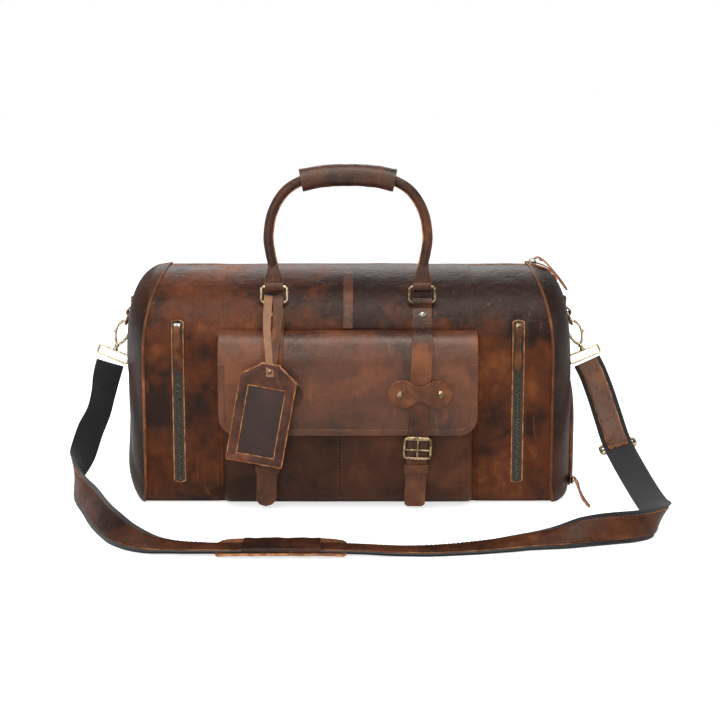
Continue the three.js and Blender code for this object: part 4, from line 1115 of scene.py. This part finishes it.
grip_leather = leather_of("grip_leather", (0.014, 0.006, 0.004, 1), (0.060, 0.021, 0.010, 1),
                          (0.19, 0.070, 0.034, 1), 1.6, -0.02, 0.0006, 0.5)
for bench, ring_tilt, handle_tilt, place_back in (("front", 0, -5, Matrix.Identity(4)),
                                                  ("rear", REAR_RING_TILT, 170, turned_back)):
    at = (place_back @ Matrix.Translation((0, -RING_Y, RING_Z)) @ turned(ring_tilt, "X")
          @ Matrix.Translation((0, 0, RING_PITCH)) @ turned(handle_tilt - ring_tilt, "X"))
    body = f"{bench}_handle"
    roll = laid_sheet(f"{bench}_handle_roll", 20, 170, handle_place(at), trim_leather, edge_tan, closed=True,
                      tone=lambda p: -0.03)
    settle(face_outward(roll, open_ends=True), body, "trim_leather", body)
    seam_out = HANDLE_RADIUS + 0.0002
    seam = []
    for i in range(8, 163):
        (x, z), (dx, dz) = along_line(handle_line, i / 170)
        seam.append(at @ Vector((x + dz * seam_out, 0, z - dx * seam_out)))
    cord_of(f"{bench}_handle_seam", [seam], 0.0011, edge_tan, body, "trim_leather")
    cut_sheet(f"{bench}_grip_wrap", 36, 60, grip_place(at), (grip_leather, edge_tan), 0.0019, 0.0004, body,
              "trim_leather", f"{bench}_grip", closed=True, flipped=True)
    under = [[grip_place(at)(u, v / 60) for v in range(3, 58)] for u in (0.03, -0.03 % 1)]
    stitches(f"{bench}_grip_stitches", under, body)
    for name, side in (("left", -1), ("right", 1)):

        def eye_place(u, v, side=side, at=at):
            turn = math.radians(120 + 300 * v)
            return at @ Vector((side * STRAP_X + (u - 0.5) * 0.0222, EYE_RADIUS * math.cos(turn),
                                EYE_RADIUS * math.sin(turn)))

        def foot_place(u, v, side=side, at=at):
            half = 0.0112 - 0.0062 * v ** 1.3
            return at @ Vector((side * (STRAP_X + 0.0012 * v) + (u - 0.5) * 2 * half,
                                -EYE_RADIUS + 0.0004 * v - 0.0014 * math.sin(3.1 * v),
                                0.0005 + 0.026 * v))

        cut_sheet(f"{bench}_handle_eye_{name}", 8, 30, eye_place, trim, 0.0022, 0.0003, body, "trim_leather")
        cut_sheet(f"{bench}_handle_tab_{name}", 10, 16, foot_place, trim, 0.0018, 0.0003, body,
                  "trim_leather")


# ------------------------------------------------------------------ luggage tag
# A stiff leather tag with a raised frame of raw-edged leather round a dark window. Its strap, split in a
# suede strand and a smooth one, hangs from the left front ring and is held by one rivet.
TAG_CENTRE = (-0.102, -0.1648, 0.123)
TAG_TURN = 10.4
TAG_HALF = 0.0345
TAG_LONG = 0.062
TAG_SHOULDER = 0.044
TAG_STRAP_FACE = -0.1650

tag_at = Matrix.Translation(TAG_CENTRE) @ Matrix.Rotation(math.radians(TAG_TURN), 4, "Y")
tag_leather = leather_of("tag_leather", (0.020, 0.007, 0.0045, 1), (0.070, 0.021, 0.011, 1),
                         (0.19, 0.062, 0.030, 1), 2.4, 0.0, 0.0008, 0.4)
window_leather = leather_of("window_leather", (0.008, 0.0025, 0.0025, 1), (0.019, 0.0048, 0.0045, 1),
                            (0.085, 0.022, 0.016, 1), 1.6, 0.0, 0.0003, 0.6)
suede = two_tone("suede", (0.16, 0.075, 0.035, 1), (0.34, 0.175, 0.09, 1),
                 lambda tree, at: cloud(tree, at, 160.0), 0.0004,
                 lambda tree, at: cloud(tree, at, 1200.0), Roughness=0.95, Sheen_Weight=0.3)
TAG_TOP = 0.010
TAG_CORNER = 0.005


def tag_reach(z):
    """Half width of the tag's outline at a height from its middle."""
    if z > TAG_SHOULDER:
        return TAG_HALF + (TAG_TOP - TAG_HALF) * (z - TAG_SHOULDER) / (TAG_LONG - TAG_SHOULDER)
    low = max(0.0, TAG_CORNER - (z + TAG_LONG))
    return TAG_HALF - TAG_CORNER + math.sqrt(max(0.0, TAG_CORNER ** 2 - low ** 2))


def tag_place(u, v):
    z = -TAG_LONG + 2 * TAG_LONG * v
    bow = 0.0012 * math.sin(math.pi * v) * math.sin(math.pi * u)
    return tag_at @ Vector(((2 * u - 1) * tag_reach(z), -0.0022 + bow * 0.5, z))


tag_finish = (tag_leather, edge_tan)
cut_sheet("tag_back", 24, 60, tag_place, tag_finish, 0.0022, 0.0005, "tag", "tag_leather", "tag_panel")
frame_outer = [(-0.0335, -0.061), (0.0335, -0.061), (0.0335, 0.0432), (0.0098, 0.0610), (-0.0098, 0.0610),
               (-0.0335, 0.0432), (-0.0335, -0.061)]
frame_inner = [(-0.0225, -0.0515), (0.0225, -0.0515), (0.0225, 0.0325), (0.0090, 0.0325), (-0.0090, 0.0325),
               (-0.0225, 0.0325), (-0.0225, -0.0515)]


def tag_frame_place(u, v):
    x, z = between_rows([between_rows(frame_outer, u), between_rows(frame_inner, u)], v)
    rough = 0.0005 * noise.noise(Vector((u * 60, v * 9, 1.0)))
    crown = 0.0009 * math.sin(math.pi * v)
    return tag_at @ Vector((x + rough, -0.0037 - crown, z + rough))


def window_place(u, v):
    bulge = 0.0006 * math.sin(math.pi * u) * math.sin(math.pi * v)
    return tag_at @ Vector(((2 * u - 1) * 0.0235, -0.0026 - bulge, -0.0525 + 0.086 * v))


cut_sheet("tag_frame", 132, 8, tag_frame_place, tag_finish, 0.0015, 0.0003, "tag", "tag_leather",
          closed=True)
for label, inset in (("outer", 0.0), ("inner", 1.0)):
    run = [tag_frame_place(i / 132, inset) + Vector((0, 0.0003, 0)) for i in range(132)]
    cord_of(f"tag_edge_{label}", [run], 0.0007, edge_tan, "tag", "tag_leather", closed=True, sides=2)
settle(laid_sheet("tag_window", 16, 28, window_place, window_leather), "tag", "tag_leather")
stitches("tag_stitches", [[tag_frame_place(i / 132, 0.5) + Vector((0, -0.0002, 0)) for i in range(133)]],
         "tag")

strand_line = spline([
    *arc((-RING_Y, RING_Z), 0.0064, -20, 16.5, 10), (-0.1335, 0.2235), (-0.1560, 0.2005),
    (-0.1632, 0.1905), (TAG_STRAP_FACE - 0.001, 0.182), (-0.1695, 0.168)], 4)
# Each strand's finish, its middle and width at the ring and at its end, how far it sways and twists, its
# lift off the other, and the solid it stands for.
STRANDS = [
    ("suede", suede, (-0.0965, 0.0105), (-0.0925, 0.0085), -0.0030, 0.35, 0.0006, []),
    ("smooth", trim_leather, (-0.0855, 0.0115), (-0.0895, 0.0100), 0.0022, -0.25, 0.0, ["tag_strap"]),
]
for name, finish, start, end, sway, turn, lift, nodes in STRANDS:
    def strand_place(u, v, start=start, end=end, sway=sway, turn=turn, lift=lift):
        (y, z), (dy, dz) = along_line(strand_line, v)
        middle, width = between_rows([start, end], eased(v))
        middle += sway * math.sin(math.pi * v) ** 2
        twist = turn * math.sin(math.pi * v)
        across = (u - 0.5) * width
        out = across * math.sin(twist) - lift
        return Vector((middle + across * math.cos(twist), y - dz * out, z + dy * out))

    cut_sheet(f"tag_strand_{name}", 8, 70, strand_place, (finish, edge_tan), 0.0013, 0.0003, "tag",
              "trim_leather", *nodes)
rivet("tag_rivet", tag_at @ Vector((0.0, -0.0054, 0.052)), 0.0030, 0.0015, antique_brass, "tag")


# ------------------------------------------------------------------ shoulder strap's pad, end tab and slider
# A leather pad curls up under the strap where it would lie on a shoulder, with a wide band sewn round both.
# The right end of the webbing has a leather tab, and a brass slider for its length.
PAD_CENTRE = (-0.072, -0.3225)
PAD_LENGTH = 0.150
PAD_WIDTH = 0.062


def pad_place(u, v):
    along, across = 2 * u - 1, 2 * v - 1
    ends = abs(along) ** 5
    x = PAD_CENTRE[0] + along * (PAD_LENGTH / 2 - 0.006 * across * across)
    curl = 0.004 * abs(across) ** 3 * (1 - 0.6 * ends) + 0.0035 * ends * (1 - abs(across))
    half = PAD_WIDTH / 2 * (1 - 0.10 * ends)
    wave = 0.0006 * noise.noise(Vector((u * 8, v * 4, 5.0)))
    return Vector((x, PAD_CENTRE[1] + across * half, 0.0030 + curl + wave))


pad_leather = leather_of("pad_leather", (0.045, 0.015, 0.007, 1), (0.14, 0.048, 0.019, 1),
                         (0.34, 0.135, 0.058, 1), 1.6, 0.03, 0.0006, 0.5)
pad = cut_sheet("pad_sheet", 60, 24, pad_place, (pad_leather, edge_tan), 0.0026, 0.0005, "shoulder_pad",
                "trim_leather", "shoulder_pad")
BAND_LENGTH = 0.086
band_plan = [(-0.0235, 0.0030), (-0.0245, 0.0060), (-0.0215, 0.0100), (-0.012, 0.0112), (0.012, 0.0112),
             (0.0215, 0.0100), (0.0245, 0.0060), (0.0235, 0.0030)]


def band_place(u, v):
    (y, z), _ = along_line(band_plan, v)
    wave = 0.0007 * noise.noise(Vector((u * 7, v * 3, 12.0)))
    x = PAD_CENTRE[0] + (u - 0.5) * BAND_LENGTH
    return Vector((x, PAD_CENTRE[1] + y, z + wave * (z > 0.005)))


band = cut_sheet("pad_band", 40, 30, band_place, (strap_leather, edge_tan), 0.0018, 0.0004,
                 "shoulder_pad", "trim_leather")
stitches("pad_stitches", [[pad_place(i / 60, v) + Vector((0, 0, 0.0001)) for i in range(1, 60)]
                          for v in (0.05, 0.95)], "shoulder_pad")

TAB_SHARES = (0.889, 0.998)     # where the end tab starts and ends along the route
TAB_WIDTH = 0.0240
end_tab = ribbon("strap_end_tab", *TAB_SHARES, TAB_WIDTH, -0.0024, 0.0016, *trim, rows=48, seed=9.0)
end_tab_inner = ribbon("strap_end_tab_inner", *TAB_SHARES, TAB_WIDTH, WEB_THICKNESS / 2 - 0.0002, 0.0016,
                       *trim, rows=48, seed=9.5)


def along_strap(start, run, count, across_at, lift):
    """Points along the strap from a share of its route, off its middle and out of its face."""
    points = []
    for i in range(count):
        middle, across, out, _ = strap_frame(start + run * i / (count - 1))
        points.append(middle + across * across_at + out * lift)
    return points


end_edges = [along_strap(0.890, 0.107, 60, side * TAB_WIDTH / 2, -0.0026) for side in (-1, 1)]
end_rim = cord_of("strap_end_edges", end_edges, 0.0007, edge_tan, "root", "trim_leather", sides=2)
end_fold = ribbon("strap_end_fold", TAB_SHARES[0], 0.913, 0.0236, -0.0041, 0.0017, *trim, rows=14, seed=9.0)
for piece in (end_fold, end_tab, end_tab_inner):
    settle(piece, "root", "trim_leather")
face_top = WEB_THICKNESS / 2 + FACE_THICKNESS + 0.0001
strap_rows = [along_strap(0.892, 0.100, 90, across_at, -0.0031) for across_at in (-0.0098, 0.0098)]
strap_rows += [along_strap(0.105, 0.690, 300, across_at, face_top) for across_at in (-0.0112, 0.0112)]
strap_thread = stitches("strap_stitches", strap_rows, "root", pitch=0.005, size=0.0033)

SLIDER_ROW = 33                 # the row of the route where the slider sits
slider_middle, slider_across, slider_out, slider_along = strap_frame(SLIDER_ROW / (len(STRAP_ROUTE) - 1))
slider_turn = Matrix((slider_across, slider_along, slider_out)).transposed().to_4x4()
slider_at = Matrix.Translation(slider_middle + slider_out * 0.0028) @ slider_turn
slider_loop = [slider_at @ Vector((u, v, 0)) for u, v in rounded_loop(0.0218, 0.0058, 0.0035)]
slider = cord_of("strap_slider_frame", [slider_loop], 0.0020, antique_brass, "root", "brass",
                 ["strap_slider"], closed=True, sides=4)
bar_line = [slider_at @ Vector((x / 1000, 0, 0.0006)) for x in range(-20, 21, 4)]
slider_bar = cord_of("strap_slider_bar", [bar_line], 0.0013, antique_brass, "root", "brass")


# ------------------------------------------------------------------ strap hooks
# Cast trigger hooks hang on D-rings, each held by a leather tab sewn at the top of an end panel. A loop on
# the hook's swivel takes the strap's end, and a sprung gate closes its oval.
D_BAR = (0.2805, 0.0, 0.224)
D_TILT = 24.0
D_HALF = 0.0124
HOOK_TURN = 23.5
HOOK_DROP = 0.0186          # from the D-ring's bar down to the hook's own origin
# The swivel's collar, neck and base: radius, bottom and top.
SWIVEL = [(0.0032, -0.0308, -0.0280), (0.0024, -0.0342, -0.0308), (0.0034, -0.0367, -0.0342)]
GATE = [(0.0050, -0.0222), (0.0072, -0.0170), (0.0084, -0.0115), (0.0086, -0.0060), (0.0076, -0.0018)]
TAB_LINE = [(-0.0030, 0.0200), (-0.0030, 0.0110), (-0.0028, 0.0046), *arc((0, 0), 0.0040, 118, -24, 13)]
D_LINE = [(D_HALF, 0.0), *[(y, z - 0.0062) for y, z in arc((0, 0), D_HALF, 0, -180 / 14, 15)],
          (-D_HALF, 0.0)]
OVAL = []
for i in range(41):
    angle = math.radians(-42 - 282 * i / 40)
    OVAL.append((0.0080 * math.cos(angle) * (1 + 0.18 * math.sin(angle)),
                 -0.0113 + 0.0162 * math.sin(angle)))
dark_tab = leather_of("dark_tab", (0.005, 0.003, 0.0025, 1), (0.018, 0.008, 0.005, 1),
                      (0.06, 0.025, 0.012, 1), 2.0)

hook_pieces = []
for name, place_back in (("left", turned_back), ("right", Matrix.Identity(4))):
    bar_at = place_back @ Matrix.Translation(D_BAR)
    d_at = bar_at @ turned(-D_TILT, "Y")
    hook_at = d_at @ Matrix.Translation((0, 0, -HOOK_DROP)) @ turned(D_TILT - HOOK_TURN, "Y")

    def tab_place(u, v, at=bar_at):
        (x, z), _ = along_line(TAB_LINE, v)
        return at @ Vector((x, (u - 0.5) * 0.020, z))

    cut_sheet(f"d_ring_tab_{name}", 12, 40, tab_place, (dark_tab, edge_tan), 0.0017, 0.0003, "root",
              "trim_leather", f"d_ring_tab_{name}")
    cord_of(f"d_ring_{name}", [[d_at @ Vector((0, y, z)) for y, z in D_LINE]], 0.0016, antique_brass,
            f"d_ring_{name}", "brass", [f"d_ring_{name}"], closed=True, sides=4)

    def hook_wire(part, line, radius, body, nodes=(), closed=False, name=name, at=hook_at):
        """One bent wire of the hook, through points (x, z)."""
        return cord_of(f"{part}_{name}", [[at @ Vector((x, 0, z)) for x, z in line]], radius, bright_gold,
                       body, "brass", nodes, closed=closed, sides=4)

    hook = hook_wire("trigger_hook", OVAL, 0.0018, "root", [f"strap_hook_{name}"])
    swivel = bmesh.new()
    for radius, low, high in SWIVEL:
        bmesh.ops.create_cone(swivel, cap_ends=True, segments=18, radius1=radius, radius2=radius * 0.9,
                              depth=high - low,
                              matrix=hook_at @ Matrix.Translation((0, 0, (high + low) / 2)))
    barrel = settle(new_piece(f"hook_swivel_{name}", swivel, bright_gold), "root", "brass")
    loop = [(u, v - 0.0422) for u, v in rounded_loop(0.0205, 0.0055, 0.0022)]
    eye = hook_wire("hook_loop", loop, 0.0014, "root", closed=True)
    gate = hook_wire("hook_gate", GATE, 0.0014, f"hook_gate_{name}", [f"hook_gate_{name}"])
    thumb = bmesh.new()
    bmesh.ops.create_icosphere(thumb, subdivisions=3, radius=1.0, matrix=hook_at @ Matrix.Translation(
        (0.0100, 0, -0.0135)) @ Matrix.Diagonal((0.0016, 0.0012, 0.0024, 1)))
    settle(new_piece(f"gate_thumb_{name}", thumb, bright_gold), f"hook_gate_{name}", "brass")
    hook_pieces += [hook, barrel, eye, gate]

[tuple(point) for point in strap_line]


# ------------------------------------------------------------------ upright pocket zips
# A metal zip set between two raw leather edges on each side of the front, with a leather pull riveted to
# its slider: a wide one on the left and a narrow leaf on the right.
def tape_rows(tree, at):
    return node(tree, "ShaderNodeTexWave", {"Vector": at, "Scale": 330.0, "Distortion": 0.5},
                bands_direction="Z").outputs["Fac"]


zip_tape = two_tone("zip_tape", (0.028, 0.026, 0.020, 1), (0.070, 0.064, 0.048, 1), tape_rows, 0.0003,
                    Roughness=0.85)
tooth_brass = metal_of("tooth_brass", (0.17, 0.15, 0.11, 1), (0.07, 0.06, 0.045, 1), 0.5)


def teeth(name, spots, body, size=(0.0036, 0.0012, 0.0013)):
    """Zip teeth: small blocks set across the zip, alternately to one side and the other."""
    mesh = bmesh.new()
    for i, (point, along, across, out) in enumerate(spots):
        turn = Matrix((across, along, out)).transposed().to_4x4()
        shift = across * (0.0009 if i % 2 else -0.0009)
        bmesh.ops.create_cube(mesh, size=1.0, matrix=Matrix.Translation(point + shift) @ turn
                              @ Matrix.Diagonal((*size, 1)))
    return settle(new_piece(name, mesh, tooth_brass), body, "zip_cloth")


def front_share(z):
    """Share of the front section's length at a height above its base corner."""
    low, high = 0.0, 1.0
    for _ in range(30):
        half = (low + high) / 2
        low, high = (half, high) if along_line(front_section, half)[0][1] < z else (low, half)
    return low


# The bail of a slider, from its foot at the back over to its foot at the nose.
BAIL = [(0, 0.0040, 0.0042), (0, 0.0034, 0.0062), (0, 0.0010, 0.0070), (0, -0.0020, 0.0064),
        (0, -0.0034, 0.0044)]


def zip_slider(name, at, finish, body, *nodes, scale=1.0):
    """Two shaped plates joined at the nose, and a bail for the pull. It slides along Y, and out is Z."""
    mesh = bmesh.new()
    for z, grow in ((0.0, 0.92), (0.0030, 1.0)):
        plate_at = Matrix.Translation((0, 0, z + 0.0006))
        plate_at = plate_at @ Matrix.Diagonal((0.0088 * grow, 0.0105 * grow, 0.0012, 1))
        plate = bmesh.ops.create_cube(mesh, size=1.0, matrix=plate_at)["verts"]
        for vertex in plate:
            if vertex.co.y < 0:
                vertex.co.x *= 0.62
    post_at = Matrix.Translation((0, 0.003, 0.0021)) @ Matrix.Diagonal((0.0022, 0.0030, 0.0030, 1))
    bmesh.ops.create_cube(mesh, size=1.0, matrix=post_at)
    bmesh.ops.bevel(mesh, geom=mesh.edges, offset=0.0005, offset_type="OFFSET", segments=2, profile=0.5,
                    affect="EDGES", material=-1)
    bmesh.ops.scale(mesh, verts=mesh.verts, vec=(scale, scale, scale))
    bmesh.ops.transform(mesh, matrix=at, verts=mesh.verts)
    settle(new_piece(name, mesh, finish), body, "brass", *nodes)
    bail = [at @ (Vector(point) * scale) for point in BAIL]
    cord_of(f"{name}_bail", [bail], 0.0008, finish, body, "brass")


def leather_pull(name, body, middle_line, across_line, shape, rivet_at):
    """A leather pull along a line, as wide at each share as shape says, with one rivet near its top."""
    def place(u, v):
        point, along = along_line(middle_line, v)
        across = Vector(across_line[0]).lerp(Vector(across_line[1]), v)
        across = (across - Vector(along) * across.dot(Vector(along))).normalized()
        at = v * (len(shape) - 1)
        low = min(int(at), len(shape) - 2)
        half = shape[low] + (shape[low + 1] - shape[low]) * eased(at - low)
        return Vector(point) + across * half * (2 * u - 1)

    cut_sheet(name, 10, 44, place, (pull_leather, edge_tan), 0.0022, 0.0004, body, "trim_leather", name)
    spot, along = along_line(middle_line, rivet_at)
    outward = (place(1, rivet_at) - place(0, rivet_at)).normalized().cross(Vector(along))
    rivet(f"{name}_rivet", Vector(spot) + outward * 0.0001, 0.0030, 0.0016, antique_brass, body, outward)


pull_leather = leather_of("pull_leather", (0.045, 0.015, 0.007, 1), (0.14, 0.046, 0.018, 1),
                          (0.36, 0.13, 0.05, 1), 2.4)
WIDE_PULL = [0.0030, 0.0036, 0.0034, 0.0042, 0.0048, 0.0050, 0.0050, 0.0050, 0.0046, 0.0028]
LEAF_PULL = [0.0024, 0.0036, 0.0036, 0.0026, 0.0024, 0.0032, 0.0042, 0.0046, 0.0038, 0.0010]
zip_low, zip_high = front_share(ZIP_ENDS[0]), front_share(ZIP_ENDS[1])


def up_the_zip(x, share, out):
    """A point beside a zip, at a share of the zip's own length."""
    return body_point(x, zip_low + (zip_high - zip_low) * share, -1, out)


for name, side in (("left", -1), ("right", 1)):
    middle = side * ZIP_X

    def zip_place(u, v, middle=middle):
        return up_the_zip(middle + (u - 0.5) * 0.0118, v, 0.0005)

    cut_sheet(f"pocket_zip_tape_{name}", 6, 70, zip_place, (zip_tape,), CLOTH, 0, "root", "zip_cloth",
              f"pocket_zip_{name}")
    spots = []
    for i in range(96):
        share = zip_low + (zip_high - zip_low) * (i + 0.5) / 96
        along = (body_point(middle, share + 0.004, -1) - body_point(middle, share - 0.004, -1)).normalized()
        spots.append((body_point(middle, share, -1, 0.0010), along, Vector((1, 0, 0)),
                      Vector((1, 0, 0)).cross(along)))
    teeth(f"pocket_zip_teeth_{name}", spots, "root")
    shares = [i / 80 for i in range(81)]
    lips = [[up_the_zip(middle + x * (1 - 0.9 * max(0.0, abs(2 * share - 1) - 0.985) / 0.015), share, 0.0004)
             for share in shares] for x in (-0.0068, 0.0068)]
    cord_of(f"pocket_zip_edges_{name}", lips, 0.00085, edge_tan, "root", "trim_leather", sides=2)
    stitches(f"pocket_zip_stitches_{name}", [[up_the_zip(middle + x, share, 0.0001) for share in shares]
                                             for x in (-0.0098, 0.0098)], "root")
    slider_name = f"pocket_slider_{name}"
    slider_spot = Matrix.Translation((middle, -0.1196, 0.220)) @ turned(82, "X")
    zip_slider(slider_name, slider_spot, steel if side < 0 else antique_brass, slider_name, slider_name)
    hang = spline([(middle, -0.1262, 0.2225), (middle, -0.1282, 0.2165), (middle, -0.1262, 0.206),
                   (middle - side * 0.0008, -0.1248, 0.190), (middle - side * 0.0010, -0.1252, 0.167)], 6)
    pull_name = f"pocket_pull_{name}"
    shape = WIDE_PULL if side < 0 else LEAF_PULL
    leather_pull(pull_name, pull_name, hang, ((1, 0, 0), (1, 0, 0)), shape, 0.16)


# ------------------------------------------------------------------ mouth zip
# Two woven tapes with metal teeth along the lips, one on each, a slider parked at the right end with a leaf
# of leather for its pull, and raw-edged leather stays sewn over the zip's end.
TAPE_IN = 0.0026
for name, facing in (("front", -1), ("rear", 1)):
    def tape_place(u, v, facing=facing):
        y = facing * (0.0125 - (0.0125 - TAPE_IN) * v)
        sag = 0.0004 * noise.noise(Vector((u * 40, v, facing)))
        return Vector(((0.5 - u) * 2 * 0.2265 * facing, y, TOP_Z - 0.0028 + 0.0009 * v + sag))

    cut_sheet(f"main_zip_tape_{name}", 110, 5, tape_place, (zip_tape,), CLOTH, 0, f"mouth_{name}",
              "zip_cloth", f"main_zip_tape_{name}")
    spots = [(Vector((-0.224 + 0.448 * (i + 0.5) / 150 + 0.0007 * facing, facing * 0.0016, TOP_Z - 0.0012)),
              Vector((1, 0, 0)), Vector((0, 1, 0)), Vector((0, 0, 1))) for i in range(150)]
    teeth(f"main_zip_teeth_{name}", spots, f"mouth_{name}", size=(0.0030, 0.0013, 0.0015))

main_slider_at = Matrix.Translation((0.2350, 0, 0.2850)) @ turned(-90, "Z")
zip_slider("main_zip_slider", main_slider_at, antique_brass, "main_slider", "main_zip_slider", scale=1.05)
pull_line = spline([(0.2385, 0, 0.2918), (0.2440, -0.001, 0.2925), (0.2540, -0.003, 0.2845),
                    (0.2660, -0.006, 0.2700), (0.2790, -0.009, 0.2520)], 6)
leather_pull("main_zip_pull", "main_pull", pull_line, ((0, 1, 0), (0.15, 0.95, 0.2)),
             [0.0026, 0.0036, 0.0036, 0.0028, 0.0030, 0.0042, 0.0056, 0.0060, 0.0048, 0.0010], 0.14)
for name, facing in (("front", -1), ("rear", 1)):
    def stay_place(u, v, facing=facing):
        turn = math.pi / 2 * v * 0.92
        return Vector((0.2265 + 0.040 * math.sin(turn), facing * (0.0042 + 0.0062 * u) * (1 + 0.7 * v),
                       0.2868 - 0.0235 * (1 - math.cos(turn))))

    cut_sheet(f"zip_end_stay_{name}", 6, 26, stay_place, trim, 0.0016, 0.0003, "root", "trim_leather")


# ------------------------------------------------------------------ shoe compartment door
# A padded leather door, zipped round three sides and folding down on its foot, with a piped edge. Its
# slider rests at the front lower corner, and its leaf-shaped pull lies out over the floor.
DOOR_PUFF = 0.0086
DOOR_MIDDLE = 0.078
FRONT_SHARE = 0.75          # the part of the door's rows that makes its padded front


def door_place(u, v):
    (y, z), _ = along_line(door_arch, u)
    if v < FRONT_SHARE:
        share = v / FRONT_SHARE
        bulge = (1 - share ** 7) ** (1 / 2.4)
        dimple = 0.0006 * noise.noise(Vector((y * 22, z * 22, 4.0))) * (1 - share)
        x = DOOR_PLANE + 0.0006 + DOOR_PUFF * bulge + dimple
    else:
        share = (1 - v) / (1 - FRONT_SHARE)
        x = DOOR_PLANE + 0.0004
    return Vector((x, y * share, DOOR_MIDDLE + (z - DOOR_MIDDLE) * share))


# The door wears the ends' darker leather, painted shade.
door = face_outward(laid_sheet("shoe_door_pad", 120, 44, door_place, shaded_end_leather, closed=True))
settle(door, "shoe_door", "body_leather", "shoe_door")
door_edge = []
for i in range(150):
    (y, z), _ = along_line(door_arch, i / 150)
    door_edge.append(Vector((DOOR_PLANE + 0.0028, y * 1.004, DOOR_MIDDLE + (z - DOOR_MIDDLE) * 1.004)))
cord_of("shoe_door_piping", [door_edge], 0.0021, piping_leather, "shoe_door", "body_leather", closed=True)


def door_tape_place(u, v):
    return right_surface(u, 0.70 + 0.28 * v) + Vector((0.0007, 0, 0))


cut_sheet("shoe_zip_tape", 140, 6, door_tape_place, (zip_tape,), 0.0005, 0, "root", "zip_cloth", closed=True)
coil_spots = []
for i in range(150):
    u = 0.10 + 0.80 * (i + 0.5) / 150
    here, ahead, inward = right_surface(u, 0.80), right_surface(u + 0.004, 0.80), right_surface(u, 0.86)
    along = (ahead - here).normalized()
    across = (inward - here).normalized()
    across = (across - along * across.dot(along)).normalized()
    coil_spots.append((here + Vector((0.0011, 0, 0)), along, across, along.cross(across)))
teeth("shoe_zip_teeth", coil_spots, "root")
shoe_slider_at = (Matrix.Translation((0.2771, -0.0865, 0.0225)) @ turned(8, "Z") @ turned(90, "Y")
                  @ turned(90, "Z"))
zip_slider("shoe_slider", shoe_slider_at, antique_brass, "shoe_slider", "shoe_slider")
shoe_line = spline([(0.2830, -0.0860, 0.0235), (0.2848, -0.0925, 0.0225), (0.2855, -0.1060, 0.0160),
                    (0.2885, -0.1270, 0.0085), (0.2915, -0.1560, 0.0052)], 6)
leather_pull("shoe_pull", "shoe_pull", shoe_line, ((0.45, 0.25, -0.85), (0.80, 0.2, -0.55)),
             [0.0026, 0.0036, 0.0034, 0.0028, 0.0032, 0.0046, 0.0058, 0.0058, 0.0044, 0.0010], 0.14)
